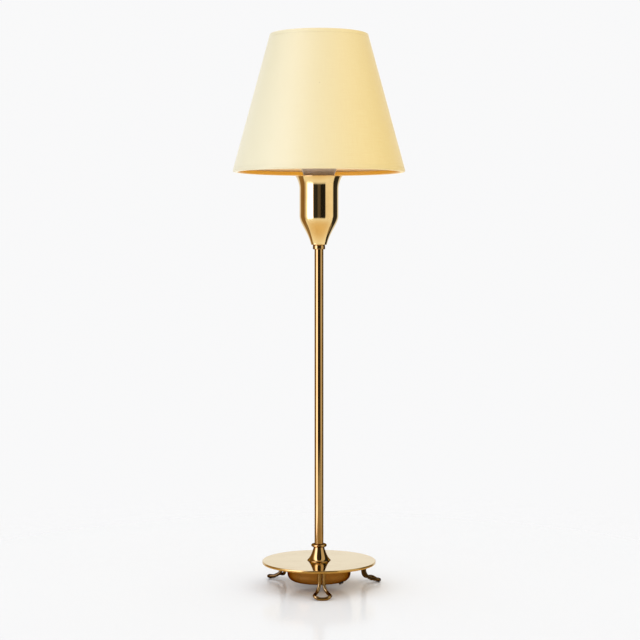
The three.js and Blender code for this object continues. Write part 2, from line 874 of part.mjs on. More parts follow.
const coverDepth = hemThickness + glueGap;
const liningDepth = coverDepth + coverThickness + glueGap;
const liningInside = liningDepth + liningThickness;
const ringDepth = liningInside + (ringRadius + seatGap) * Math.hypot(1, shadeSlope);
const ringInset = hemThickness + seatGap + ringRadius; // edge of the shade to the middle of its ring

function shadeSheet(depth, thickness) {
  const bottom = shadeBottom + coverDepth;
  const top = shadeTop - coverDepth;
  return turned([
    at(shadeRadius(bottom, depth), bottom),
    at(shadeRadius(top, depth), top),
    at(shadeRadius(top, depth + thickness), top),
    at(shadeRadius(bottom, depth + thickness), bottom),
  ], shadeSegments);
}

place(lamp, 'shade_cover', shadeSheet(coverDepth, coverThickness), creamCloth());
place(lamp, 'shade_lining', shadeSheet(liningDepth, liningThickness), ochreLining());

function shadeRing(height) {
  const centre = shadeRadius(height, ringDepth);
  const section = roundWire(ringWireDiameter, fineWireSides).getPoints().slice(0, fineWireSides);
  return turned(section.map(({ x, y }) => at(centre + x, height + y)), shadeSegments);
}

// Folded edge round the sheets and the ring; inward is +1 at the bottom and -1 at the top
function shadeHem(edge, inward) {
  const far = edge + inward * hemHeight;
  const fold = edge + inward * hemThickness;
  const ringMiddle = shadeRadius(edge + inward * ringInset, ringDepth);
  const innerSkin = ringMiddle - ringRadius - seatGap;
  return turned([
    at(shadeRadius(edge, 0), edge),
    at(shadeRadius(far, 0), far),
    at(shadeRadius(far, hemThickness), far),
    at(shadeRadius(fold, hemThickness), fold),
    at(innerSkin, fold),
    at(innerSkin, far),
    at(innerSkin - hemThickness, far),
    at(innerSkin - hemThickness, edge),
  ], shadeSegments);
}

place(lamp, 'bottom_ring', shadeRing(shadeBottom + ringInset), steel());
place(lamp, 'top_ring', shadeRing(shadeTop - ringInset), steel());
place(lamp, 'bottom_hem', shadeHem(shadeBottom, 1), creamCloth());
place(lamp, 'top_hem', shadeHem(shadeTop, -1), creamCloth());

// Carrier wire: two arms up to the top ring and the pivot bar between them
const jawRadius = jawWireDiameter / 2;
const backEyeOffset = jawEyeOffset + jawWireDiameter + jawEyeGap;
const eyeRadius = carrierWireDiameter / 2 + seatGap + jawRadius;

function carrierWire() {
  const armRadius = shadeRadius(shadeTop - ringInset, ringDepth);
  const armTop = shadeTop - ringInset - ringRadius - seatGap;
  const barEnd = backEyeOffset + jawRadius + barClearance + carrierBend;
  const corners = [
    point(armRadius, 0, armTop),
    point(armRadius, 0, armTop - carrierArmDrop - carrierBend),
    point(barEnd, 0, pivotHeight),
    point(0, 0, pivotHeight),
  ];
  const route = mirroredRoute(bentCurves(corners, carrierBend), 'x');
  return swept(roundWire(carrierWireDiameter, wireSides), route);
}

place(lamp, 'carrier_wire', carrierWire(), steel());

// One jaw, on the -y side: eye on the bar, arm over the globe, and a bow below the equator
function clipJaw(eyeOffset) {
  const reach = globeRadius + seatGap + jawRadius;
  const middle = point(0, 0, globeCentre);
  const toArm = point(Math.sin(radians(jawSpread)), -Math.cos(radians(jawSpread)), 0);
  const outward = toArm.clone().multiplyScalar(reach);
  const upward = point(0, 0, reach);
  const eyeCentre = point(eyeOffset, 0, pivotHeight);
  const eye = new ArcCurve(eyeCentre, point(0, -eyeRadius, 0), point(0, 0, eyeRadius), jawEyeTurn, 0);
  const hug = new ArcCurve(middle, outward, upward, jawTopLift, 0);
  const eyeEnd = eye.getPoint(1);
  const hugStart = hug.getPoint(0);
  const eyeHandle = eyeEnd.clone().add(point(0, 0, -jawArmPull));
  const hugHandle = hugStart.clone().addScaledVector(hug.getTangent(0), -jawArmPull);
  const equator = hug.getPoint(1);
  const dropEnd = equator.clone().add(point(0, 0, -jawDrop));
  const bowCorner = dropEnd.clone().add(point(0, 0, -jawBend));
  const bowCentre = point(0, 0, bowCorner.z);
  const bowDegrees = jawSpread - THREE.MathUtils.radToDeg(jawBend / reach);
  const bow = new ArcCurve(bowCentre, point(0, -reach, 0), point(reach, 0, 0), bowDegrees, 0);
  const half = [
    eye,
    new THREE.CubicBezierCurve3(eyeEnd, eyeHandle, hugHandle, hugStart),
    hug,
    new THREE.LineCurve3(equator, dropEnd),
    new THREE.QuadraticBezierCurve3(dropEnd, bowCorner, bow.getPoint(0)),
    bow,
  ];
  return swept(roundWire(jawWireDiameter, fineWireSides), mirroredRoute(half, 'x'));
}

place(lamp, 'clip_jaw_front', clipJaw(jawEyeOffset), steel());
const backJaw = place(lamp, 'clip_jaw_back', clipJaw(backEyeOffset), steel());
backJaw.rotation.z = Math.PI;

export default lamp;
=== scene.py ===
import math

import bmesh
import bpy
from mathutils import Matrix, Vector


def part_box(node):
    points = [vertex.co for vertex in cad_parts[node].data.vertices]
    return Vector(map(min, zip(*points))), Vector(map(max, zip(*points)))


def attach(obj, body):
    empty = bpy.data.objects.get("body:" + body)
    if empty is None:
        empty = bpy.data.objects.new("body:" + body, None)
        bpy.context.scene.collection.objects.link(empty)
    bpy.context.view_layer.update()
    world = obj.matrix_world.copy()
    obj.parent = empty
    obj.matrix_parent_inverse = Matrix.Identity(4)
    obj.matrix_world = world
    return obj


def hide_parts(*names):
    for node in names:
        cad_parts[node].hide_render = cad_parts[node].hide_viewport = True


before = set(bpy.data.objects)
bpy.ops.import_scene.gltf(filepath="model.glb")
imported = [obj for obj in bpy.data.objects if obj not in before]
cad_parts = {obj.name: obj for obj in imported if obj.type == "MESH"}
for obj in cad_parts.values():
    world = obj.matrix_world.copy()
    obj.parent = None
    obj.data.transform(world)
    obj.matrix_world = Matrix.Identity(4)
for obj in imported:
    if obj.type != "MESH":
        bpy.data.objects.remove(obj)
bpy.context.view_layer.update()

mm = 0.001
tiny = 1e-9
sharpAngle = 40  # degrees; flatter edges are shaded smooth
tubeHole = 4.15 * mm  # in every piece that the stem passes through
print("frame loaded,", len(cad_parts), "nodes")


def evenRows(low, high, count):
    return [low + (high - low) * i / count for i in range(count + 1)]


# Profiles are lists of (radius, height)
def arc(radius, height, bend, fromDegrees, toDegrees, steps):
    angles = [math.radians(degrees) for degrees in evenRows(fromDegrees, toDegrees, steps)]
    return [(radius + bend * math.cos(a), height + bend * math.sin(a)) for a in angles]


def bezier(start, startHandle, endHandle, end, steps):
    return [cubicPoint(start, startHandle, endHandle, end, t) for t in evenRows(0, 1, steps)]


def cubicPoint(start, startHandle, endHandle, end, t):
    weights = ((1 - t) ** 3, 3 * t * (1 - t) ** 2, 3 * t * t * (1 - t), t ** 3)
    corners = (start, startHandle, endHandle, end)
    return tuple(sum(w * c[axis] for w, c in zip(weights, corners)) for axis in range(len(start)))


def quadratic(start, corner, end, steps):
    startHandle = tuple(s + (c - s) * 2 / 3 for s, c in zip(start, corner))
    endHandle = tuple(e + (c - e) * 2 / 3 for e, c in zip(end, corner))
    return bezier(start, startHandle, endHandle, end, steps)


def inset(profile, depth):
    moved = []
    for i, (radius, height) in enumerate(profile):
        before = profile[max(i - 1, 0)]
        after = profile[min(i + 1, len(profile) - 1)]
        along = Vector((after[0] - before[0], after[1] - before[1])).normalized()
        moved.append((radius - along.y * depth, height + along.x * depth))  # to the left of the way it runs
    return moved


def roundRing(radius, bottom, top, edge, steps):  # flat ring on the stem, with a rounded rim
    rim = radius - edge
    lower = arc(rim, bottom + edge, edge, -90, 0, steps)
    upper = arc(rim, top - edge, edge, 0, 90, steps)
    return [(tubeHole, bottom)] + lower + upper + [(tubeHole, top)]


def zRange(node):
    lowest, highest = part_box(node)
    return lowest.z, highest.z


def outerRadius(node):
    lowest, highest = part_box(node)
    return (highest.x - lowest.x) / 2


def link(name, mesh):
    piece = bpy.data.objects.new(name, mesh)
    bpy.context.scene.collection.objects.link(piece)
    return piece


def smooth(mesh, sharpDegrees=sharpAngle):
    mesh.shade_smooth()
    mesh.set_sharp_from_angle(angle=math.radians(sharpDegrees))


# A profile turned round the z axis; u runs round, v along the profile, both in metres
def spin(name, profile, segments, bulge=None, sharpDegrees=sharpAngle):
    onAxis = profile[0][0] < tiny and profile[-1][0] < tiny
    rings = []
    verts = []
    for radius, height in profile:
        ring = []
        for j in range(1 if radius < tiny else segments):
            angle = 2 * math.pi * j / segments
            r, z = bulge(radius, height, angle) if bulge else (radius, height)
            ring.append(len(verts))
            verts.append((r * math.cos(angle), r * math.sin(angle), z))
        rings.append(ring)
    spans = list(zip(range(len(profile)), range(1, len(profile))))
    if not onAxis:
        spans.append((len(profile) - 1, 0))
    widest = max(radius for radius, height in profile)
    run = 0
    faces = []
    uvs = []
    for low, high in spans:
        length = math.dist(profile[low], profile[high])
        for j in range(segments):
            k = (j + 1) % segments
            u, w = (2 * math.pi * widest * step / segments for step in (j, j + 1))
            corners = [(rings[low], j, u, run), (rings[low], k, w, run),
                       (rings[high], k, w, run + length), (rings[high], j, u, run + length)]
            if len(rings[low]) == 1:
                corners.pop(1)
            elif len(rings[high]) == 1:
                corners.pop(2)
            faces.append([ring[i % len(ring)] for ring, i, across, along in corners])
            uvs += [(across, along) for ring, i, across, along in corners]
        run += length
    mesh = bpy.data.meshes.new(name)
    mesh.from_pydata(verts, [], faces)
    layer = mesh.uv_layers.new(name="surface")
    for loop, uv in zip(layer.data, uvs):
        loop.uv = uv
    outward(mesh)
    smooth(mesh, sharpDegrees)
    return link(name, mesh)


def outward(mesh):
    shape = bmesh.new()
    shape.from_mesh(mesh)
    bmesh.ops.recalc_face_normals(shape, faces=shape.faces)
    shape.to_mesh(mesh)
    shape.free()


def camel(node):
    first, *rest = node.split("_")
    return first + "".join(part.capitalize() for part in rest)


def dress(piece, body, slot, node, look=None):
    piece.data.materials.clear()
    piece.data.materials.append(finishes[look or slot])
    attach(piece, body)
    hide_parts(node)


def turnPiece(node, profile, segments, body, slot, look=None, **shape):
    dress(spin(camel(node), profile, segments, **shape), body, slot, node, look)


# Shared shader effects
def addNode(tree, kind, inputs=None, **settings):
    made = tree.nodes.new(kind)
    for key, value in settings.items():
        setattr(made, key, value)
    for key, value in (inputs or {}).items():
        if hasattr(value, "is_output"):
            tree.links.new(value, made.inputs[key])
        else:
            made.inputs[key].default_value = value
    return made


def math2(tree, operation, first, second=0.0):
    return addNode(tree, "ShaderNodeMath", {0: first, 1: second}, operation=operation).outputs[0]


def remap(tree, value, fromMin, fromMax, toMin=0.0, toMax=1.0):
    inputs = {"Value": value, "From Min": fromMin, "From Max": fromMax, "To Min": toMin, "To Max": toMax}
    return addNode(tree, "ShaderNodeMapRange", inputs, interpolation_type="SMOOTHSTEP").outputs["Result"]


def mixColour(tree, share, first, second):  # sockets 6, 7 and 2 are the node's colours
    return addNode(tree, "ShaderNodeMix", {0: share, 6: first, 7: second}, data_type="RGBA").outputs[2]


def noise(tree, vector, scale, detail=2.0, roughness=0.5):
    inputs = {"Vector": vector, "Scale": scale, "Detail": detail, "Roughness": roughness}
    return addNode(tree, "ShaderNodeTexNoise", inputs).outputs["Fac"]


def newGroup(name, inputs):
    tree = bpy.data.node_groups.new(name, "ShaderNodeTree")
    for key, value in inputs.items():
        kind = "NodeSocketFloat" if isinstance(value, float) else "NodeSocketColor"
        tree.interface.new_socket(key, in_out="INPUT", socket_type=kind).default_value = value
    tree.interface.new_socket("colour", in_out="OUTPUT", socket_type="NodeSocketColor")
    tree.interface.new_socket("roughness", in_out="OUTPUT", socket_type="NodeSocketFloat")
    tree.interface.new_socket("height", in_out="OUTPUT", socket_type="NodeSocketFloat")
    return tree, tree.nodes.new("NodeGroupInput").outputs


def endGroup(tree, colour, roughness, height):
    addNode(tree, "NodeGroupOutput", {"colour": colour, "roughness": roughness, "height": height})
    return tree


# Polished or plated metal: rings left by the lathe and the mop, tarnish in clouds, small pits, and painted
# shade on the rim of a wide disc
wear = {"lineDetail": 3.0, "lineVeil": 0.5, "cloudDetail": 4.0, "cloudRoughness": 0.6, "cloudFrom": 0.42,
        "cloudTo": 0.72, "pitScale": 900.0, "pitFrom": 0.68, "pitTo": 0.76}


def buildMetalEffect():
    tree, given = newGroup("wornMetalShadedRim", {
        "bright": (0.8, 0.6, 0.3, 1), "tarnish": (0.4, 0.2, 0.05, 1), "tarnishShare": 0.3, "cloudScale": 45.0,
        "lineScale": 1500.0, "gloss": 0.1, "haze": 0.08, "lineDepth": 0.3, "pitShare": 0.3, "rimFrom": 1.0,
    })
    place = addNode(tree, "ShaderNodeTexCoord").outputs["Object"]
    split = addNode(tree, "ShaderNodeSeparateXYZ", {"Vector": place}).outputs
    flat = addNode(tree, "ShaderNodeCombineXYZ", {"X": split["X"], "Y": split["Y"]}).outputs[0]
    reach = addNode(tree, "ShaderNodeVectorMath", {0: flat}, operation="LENGTH").outputs["Value"]
    across = math2(tree, "MULTIPLY", math2(tree, "ADD", reach, split["Z"]), given["lineScale"])
    lines = addNode(tree, "ShaderNodeTexNoise", {"W": across, "Detail": wear["lineDetail"]},
                    noise_dimensions="1D").outputs["Fac"]
    cloudy = noise(tree, place, given["cloudScale"], wear["cloudDetail"], wear["cloudRoughness"])
    clouds = remap(tree, cloudy, wear["cloudFrom"], wear["cloudTo"])
    pits = remap(tree, noise(tree, place, wear["pitScale"]), wear["pitFrom"], wear["pitTo"])
    rim = math2(tree, "GREATER_THAN", reach, given["rimFrom"])  # painted shade on the outer edge of a wide disc, past this radius
    tarnishAndShadedRim = math2(tree, "MAXIMUM", math2(tree, "MULTIPLY", clouds, given["tarnishShare"]), rim)
    tarnishPitsAndShadedRim = math2(tree, "MAXIMUM", tarnishAndShadedRim, math2(tree, "MULTIPLY", pits, given["pitShare"]))
    colour = mixColour(tree, tarnishPitsAndShadedRim, given["bright"], given["tarnish"])
    veil = math2(tree, "ADD", clouds, math2(tree, "MULTIPLY", lines, wear["lineVeil"]))
    roughness = math2(tree, "ADD", given["gloss"], math2(tree, "MULTIPLY", veil, given["haze"]))
    height = math2(tree, "SUBTRACT", math2(tree, "MULTIPLY", lines, given["lineDepth"]), pits)
    return endGroup(tree, colour, roughness, height)


# Laminated cloth: plain weave on the piece's own surface map, slubs, a few specks, and a paler -x side of
# painted light
weaving = {"slubs": ((60.0, 1400.0, 1.0), (1400.0, 60.0, 1.0)), "weaveShare": 0.12, "paleFrom": 0.55,
           "paleTo": 1.45, "ageScale": 14.0, "ageDetail": 3.0, "speckScale": 38.0, "speckFrom": 0.022,
           "speckTo": 0.014, "weaveHeight": 0.5}


def buildClothEffect():
    tree, given = newGroup("plainWeave", {
        "thread": (0.9, 0.8, 0.5, 1), "gap": (0.8, 0.65, 0.35, 1), "speck": (0.3, 0.2, 0.08, 1),
        "faded": (0.9, 0.85, 0.6, 1), "litSideSpan": 0.07, "pitch": 0.00042, "gloss": 0.4, "haze": 0.1,
        "speckShare": 0.5,
    })
    surface = addNode(tree, "ShaderNodeTexCoord").outputs["UV"]
    split = addNode(tree, "ShaderNodeSeparateXYZ", {"Vector": surface}).outputs
    turn = math2(tree, "DIVIDE", 2 * math.pi, given["pitch"])
    warp = math2(tree, "SINE", math2(tree, "MULTIPLY", split["X"], turn))
    weft = math2(tree, "SINE", math2(tree, "MULTIPLY", split["Y"], turn))
    weave = math2(tree, "MULTIPLY", warp, weft)
    slubs = []
    for stretch in weaving["slubs"]:
        turned = addNode(tree, "ShaderNodeMapping", {"Vector": surface, "Scale": stretch}).outputs[0]
        slubs.append(noise(tree, turned, 1.0))
    uneven = math2(tree, "ADD", *slubs)
    place = addNode(tree, "ShaderNodeTexCoord").outputs["Object"]
    age = noise(tree, place, weaving["ageScale"], weaving["ageDetail"])
    raised = math2(tree, "ADD", math2(tree, "MULTIPLY", weave, weaving["weaveShare"]), uneven)
    share = remap(tree, raised, weaving["paleFrom"], weaving["paleTo"])
    woven = mixColour(tree, share, given["gap"], given["thread"])
    # painted light: the cloth turns paler towards -x, the side of the strongest studio light
    sideways = addNode(tree, "ShaderNodeSeparateXYZ", {"Vector": place}).outputs["X"]
    fade = remap(tree, math2(tree, "DIVIDE", sideways, given["litSideSpan"]), 1.0, -1.0)
    cloth = mixColour(tree, fade, woven, given["faded"])
    dots = addNode(tree, "ShaderNodeTexVoronoi", {"Vector": place, "Scale": weaving["speckScale"]})
    specks = remap(tree, dots.outputs["Distance"], weaving["speckFrom"], weaving["speckTo"])
    speckMask = math2(tree, "MULTIPLY", specks, given["speckShare"])
    colour = mixColour(tree, speckMask, cloth, given["speck"])
    roughness = math2(tree, "ADD", given["gloss"], math2(tree, "MULTIPLY", age, given["haze"]))
    height = math2(tree, "ADD", math2(tree, "MULTIPLY", weave, weaving["weaveHeight"]), uneven)
    return endGroup(tree, colour, roughness, height)


# Moulded, cast and fired surfaces: grain, faint mottling, uneven gloss
moulding = {"cloudDetail": 4.0, "cloudRoughness": 0.6, "grainShare": 0.4, "mottleFrom": 0.45, "mottleTo": 1.0}


def buildGrainEffect():
    tree, given = newGroup("mouldedGrain", {
        "body": (0.5, 0.5, 0.5, 1), "mottle": (0.4, 0.4, 0.4, 1), "grainScale": 1200.0, "cloudScale": 60.0,
        "gloss": 0.4, "haze": 0.1,
    })
    place = addNode(tree, "ShaderNodeTexCoord").outputs["Object"]
    clouds = noise(tree, place, given["cloudScale"], moulding["cloudDetail"], moulding["cloudRoughness"])
    grain = noise(tree, place, given["grainScale"])
    uneven = math2(tree, "ADD", clouds, math2(tree, "MULTIPLY", grain, moulding["grainShare"]))
    share = remap(tree, uneven, moulding["mottleFrom"], moulding["mottleTo"])
    colour = mixColour(tree, share, given["body"], given["mottle"])
    roughness = math2(tree, "ADD", given["gloss"], math2(tree, "MULTIPLY", grain, given["haze"]))
    return endGroup(tree, colour, roughness, grain)


metalEffect = buildMetalEffect()
clothEffect = buildClothEffect()
grainEffect = buildGrainEffect()
bumps = {"line": 0.0006 * mm, "grain": 0.02 * mm, "casting": 0.2 * mm, "thread": 0.03 * mm}


def finish(name, effect, look, bumpDistance, sockets=None):
    material = bpy.data.materials.new(name)
    material.use_nodes = True
    tree = material.node_tree
    shader = tree.nodes["Principled BSDF"]
    group = addNode(tree, "ShaderNodeGroup", look, node_tree=effect)
    bump = addNode(tree, "ShaderNodeBump", {"Distance": bumpDistance, "Height": group.outputs["height"]})
    tree.links.new(group.outputs["colour"], shader.inputs["Base Color"])
    tree.links.new(group.outputs["roughness"], shader.inputs["Roughness"])
    tree.links.new(bump.outputs["Normal"], shader.inputs["Normal"])
    for key, value in (sockets or {}).items():
        shader.inputs[key].default_value = value
    return material


def metal(name, look, edge=(1, 1, 1, 1)):
    return finish(name, metalEffect, look, bumps["line"], {"Metallic": 1.0, "Specular Tint": edge})


def moulded(name, look, bump="grain"):
    return finish(name, grainEffect, look, bumps[bump])


brassLook = {"bright": (0.74, 0.53, 0.23, 1), "tarnish": (0.5, 0.28, 0.07, 1), "tarnishShare": 0.3,
             "gloss": 0.025, "haze": 0.03, "lineDepth": 0.08, "pitShare": 0.2}
# Darker brass for the stem, knop and collar: painted shade for the dark room that the thin stem mirrors.
shadedStemLook = dict(brassLook, bright=(0.4, 0.245, 0.085, 1), tarnish=(0.28, 0.14, 0.04, 1))
# Past 50.7 mm the disc's rim takes the tarnish colour: painted shade.
plateLook = dict(brassLook, bright=(0.74, 0.58, 0.3, 1), tarnish=(0.56, 0.37, 0.13, 1), tarnishShare=0.25,
                 gloss=0.06, rimFrom=50.7 * mm)
# The feet's brass is darker than the cup's: painted shade for the dark floor and room that the wire mirrors.
footLook = dict(brassLook, bright=(0.28, 0.18, 0.065, 1), tarnish=(0.08, 0.045, 0.012, 1), tarnishShare=0.6,
                gloss=0.12)
# A darker copy of the foot brass for the side feet: painted shade for their place under the disc.
shadedFootLook = dict(footLook, bright=(0.11, 0.065, 0.022, 1), tarnish=(0.05, 0.028, 0.01, 1))
# A duller finish for the pan, and a darker colour that is painted shade for its place under the disc.
shadedPanLook = dict(brassLook, bright=(0.29, 0.155, 0.045, 1), tarnish=(0.21, 0.105, 0.028, 1), gloss=0.2,
               haze=0.08)
steelLook = {"bright": (0.62, 0.61, 0.58, 1), "tarnish": (0.34, 0.31, 0.27, 1), "gloss": 0.22, "haze": 0.12}
nickelLook = dict(steelLook, bright=(0.7, 0.68, 0.63, 1), gloss=0.16)
ironLook = {"body": (0.045, 0.042, 0.04, 1), "mottle": (0.12, 0.06, 0.035, 1), "gloss": 0.6, "haze": 0.3,
            "grainScale": 700.0}
rubberLook = {"body": (0.012, 0.012, 0.012, 1), "mottle": (0.03, 0.03, 0.03, 1), "gloss": 0.6, "haze": 0.25}
mouldingLook = {"body": (0.014, 0.012, 0.011, 1), "mottle": (0.032, 0.026, 0.022, 1), "gloss": 0.28,
                "haze": 0.2}
ceramicLook = {"body": (0.76, 0.73, 0.66, 1), "mottle": (0.66, 0.62, 0.54, 1), "gloss": 0.25, "haze": 0.2}
brownLook = {"body": (0.15, 0.05, 0.018, 1), "mottle": (0.1, 0.035, 0.014, 1), "gloss": 0.4, "haze": 0.2}
blueLook = dict(brownLook, body=(0.03, 0.1, 0.3, 1), mottle=(0.02, 0.07, 0.22, 1))
# Housing plastic painted brown-grey: painted shade under the shade, tinted by warm light from the lining.
shadedHousingLook = {"body": (0.4, 0.32, 0.24, 1), "mottle": (0.34, 0.27, 0.2, 1), "gloss": 0.34, "haze": 0.16,
            "grainScale": 2200.0}
boardLook = dict(ceramicLook, gloss=0.4)
opalLook = {"body": (0.86, 0.83, 0.75, 1), "mottle": (0.8, 0.76, 0.66, 1), "gloss": 0.3, "haze": 0.1,
            "grainScale": 2600.0}
# faded is painted light on the shade's -x side.
coverLook = {"thread": (0.91, 0.71, 0.31, 1), "gap": (0.88, 0.66, 0.27, 1), "faded": (0.9, 0.83, 0.6, 1),
             "gloss": 0.28, "haze": 0.08}
hemLook = dict(coverLook, speckShare=0.0)
liningLook = {"body": (0.88, 0.68, 0.4, 1), "mottle": (0.84, 0.62, 0.34, 1), "gloss": 0.45, "haze": 0.15,
              "cloudScale": 25.0}
shadedOutlineTint = (0.2, 0.14, 0.08, 1)  # edge tint that darkens the metal's mirror towards its outline: painted shade for the dark room mirrored there
clothShine = {"Specular IOR Level": 0.25}  # keeps the edges from flaring
# Inner-leg colour of the hem: painted shade tinted with the warm light through the cloth.
hemLegShade = {"inside": (0.53, 0.25, 0.02, 1), "from": 6.6 * mm, "to": 7.2 * mm}  # along the strip


def clothFinish(name, look):
    return finish(name, clothEffect, look, bumps["thread"], clothShine)


def foldedHem():  # cream outside; from the fold on, its inner leg is painted shade tinted by the warm light through the cloth
    material = clothFinish("hemCloth", hemLook)
    tree = material.node_tree
    base = tree.nodes["Principled BSDF"].inputs["Base Color"]
    surface = addNode(tree, "ShaderNodeTexCoord").outputs["UV"]
    along = addNode(tree, "ShaderNodeSeparateXYZ", {"Vector": surface}).outputs["Y"]
    share = remap(tree, along, hemLegShade["from"], hemLegShade["to"])
    tree.links.new(mixColour(tree, share, base.links[0].from_socket, hemLegShade["inside"]), base)
    return material


finishes = {
    "polished_brass": metal("polishedBrass", brassLook),
    "plate_brass": metal("plateBrass", plateLook),
    "stem_brass": metal("stemBrass", shadedStemLook, edge=shadedOutlineTint),
    "foot_brass": metal("footBrass", footLook, edge=shadedOutlineTint),
    "shaded_foot_brass": metal("shadedFootBrass", shadedFootLook, edge=shadedOutlineTint),
    "pan_brass": metal("panBrass", shadedPanLook, edge=shadedOutlineTint),
    "cast_iron": moulded("castIron", ironLook, "casting"),
    "zinc_steel": metal("zincSteel", steelLook),
    "spring_steel": metal("springSteel", steelLook),
    "nickel_cap": metal("nickelCap", nickelLook),
    "contact_brass": metal("contactBrass", footLook),
    "black_rubber": moulded("blackRubber", rubberLook),
    "black_moulding": moulded("blackMoulding", mouldingLook),
    "white_ceramic": moulded("whiteCeramic", ceramicLook),
    "brown_insulation": moulded("brownInsulation", brownLook),
    "blue_insulation": moulded("blueInsulation", blueLook),
    "grey_plastic": moulded("greyPlastic", shadedHousingLook),
    "white_board": moulded("whiteBoard", boardLook),
    "opal_plastic": moulded("opalPlastic", opalLook),
    "cream_cloth": clothFinish("creamCloth", coverLook),
    "hem_cloth": foldedHem(),
    "ochre_lining": moulded("ochreLining", liningLook),
}
print("finishes:", len(finishes))


# Wire that follows a path, a little thicker where it is brazed at its ends
def buildWireTree():
    tree = bpy.data.node_groups.new("wireAlongPath", "GeometryNodeTree")
    sockets = {"path": "Geometry", "radius": "Float", "sides": "Int", "brazeLength": "Float",
               "brazeSwell": "Float", "finish": "Material"}
    for key, kind in sockets.items():
        tree.interface.new_socket(key, in_out="INPUT", socket_type="NodeSocket" + kind)
    tree.interface.new_socket("wire", in_out="OUTPUT", socket_type="NodeSocketGeometry")
    given = tree.nodes.new("NodeGroupInput").outputs
    along = addNode(tree, "GeometryNodeSplineParameter").outputs["Length"]
    whole = addNode(tree, "GeometryNodeSplineLength").outputs["Length"]
    nearest = math2(tree, "MINIMUM", along, math2(tree, "SUBTRACT", whole, along))
    swell = addNode(tree, "ShaderNodeMapRange", {
        "Value": nearest, "From Min": 0.0, "From Max": given["brazeLength"], "To Min": given["brazeSwell"],
        "To Max": 1.0}, interpolation_type="SMOOTHSTEP").outputs["Result"]
    section = addNode(tree, "GeometryNodeCurvePrimitiveCircle",
                      {"Resolution": given["sides"], "Radius": given["radius"]}).outputs["Curve"]
    wire = addNode(tree, "GeometryNodeCurveToMesh", {
        "Curve": given["path"], "Profile Curve": section, "Scale": swell, "Fill Caps": True}).outputs[0]
    rounded = addNode(tree, "GeometryNodeSetShadeSmooth", {"Geometry": wire}).outputs[0]
    real = addNode(tree, "GeometryNodeRealizeInstances", {"Geometry": rounded}).outputs[0]
    dressed = addNode(tree, "GeometryNodeSetMaterial", {"Geometry": real, "Material": given["finish"]})
    addNode(tree, "NodeGroupOutput", {"wire": dressed.outputs[0]})
    return tree


wireTree = buildWireTree()
plainWire = {"radius": 1.3 * mm, "sides": 20, "brazeLength": 0.1 * mm, "brazeSwell": 1.0}


def setInputs(modifier, tree, values):
    for item in tree.interface.items_tree:
        if item.item_type == "SOCKET" and item.in_out == "INPUT" and item.name in values:
            modifier[item.identifier] = values[item.name]


def bentWire(name, points, size, material, closed=False):
    curve = bpy.data.curves.new(name + "Path", "CURVE")
    curve.dimensions = "3D"
    spline = curve.splines.new("POLY")
    spline.points.add(len(points) - 1)
    for spot, place in zip(spline.points, points):
        spot.co = (*place, 1)
    spline.use_cyclic_u = closed
    pathHolder = link(name + "Path", curve)
    modifier = pathHolder.modifiers.new("wire", "NODES")
    modifier.node_group = wireTree
    setInputs(modifier, wireTree, dict(size, finish=material))
    evaluated = pathHolder.evaluated_get(bpy.context.evaluated_depsgraph_get())
    mesh = bpy.data.meshes.new_from_object(evaluated)
    mesh.name = name
    pathHolder.modifiers.remove(modifier)
    bpy.data.objects.remove(pathHolder)
    outward(mesh)
    smooth(mesh)
    return link(name, mesh)


def springWire(node, points, size, body, closed=False):
    piece = bentWire(camel(node), points, size, finishes["spring_steel"], closed)
    dress(piece, body, "spring_steel", node)


# Disc: flat and mirror bright, with a rounded edge
plate = {"edge": 0.8 * mm, "edgeSteps": 8, "support": 0.3 * mm, "segments": 192}


def buildPlate():
    bottom, top = zRange("base_plate")
    radius = outerRadius("base_plate")
    hold = radius - plate["edge"] - plate["support"]  # keeps the flat flat up to the rounding
    ring = roundRing(radius, bottom, top, plate["edge"], plate["edgeSteps"])
    profile = ring[:1] + [(hold, bottom)] + ring[1:-1] + [(hold, top)] + ring[-1:]
    turnPiece("base_plate", profile, plate["segments"], "root", "polished_brass", "plate_brass")


buildPlate()

# Feet: one wire each, brazed to the disc by both ends, splayed into a loop that stands on its toe
foot = {"degrees": {"foot_front": -87, "foot_right": 25, "foot_left": 137}, "postRadius": 45 * mm,
        "postOffset": 1.9 * mm, "splayHeight": 12.5 * mm, "splayPull": 5.5 * mm, "archReach": 54 * mm,
        "archWidth": 6.7 * mm, "archHeight": 3.6 * mm, "archPull": 6 * mm, "toePull": 4.5 * mm, "slant": 0.25,
        "toeReach": 59.5 * mm, "toeHeight": 1.3 * mm, "steps": 16, "handled": "foot_front",
        "wire": {"radius": 1.5 * mm, "sides": 24, "brazeLength": 1.6 * mm, "brazeSwell": 1.22}}


def footPath():
    post, side, bend = foot["postRadius"], foot["postOffset"], foot["splayHeight"]
    arch, width, level = foot["archReach"], foot["archWidth"], foot["archHeight"]
    archPull, toePull, slant, steps = foot["archPull"], foot["toePull"], foot["slant"], foot["steps"]
    widest = (arch, width, level)
    toe = (foot["toeReach"], 0, foot["toeHeight"])
    straight = [(post, side, z) for z in evenRows(zRange("base_plate")[0], bend, steps)]
    splay = bezier(straight[-1], (post, side, bend - foot["splayPull"]),
                   (arch - archPull, width - archPull * slant, level), widest, steps)
    loop = bezier(widest, (arch + toePull, width + toePull * slant, level),
                  (foot["toeReach"], toePull, foot["toeHeight"]), toe, steps)
    half = straight[:-1] + splay[:-1] + loop
    return half + [(x, -y, z) for x, y, z in reversed(half[:-1])]


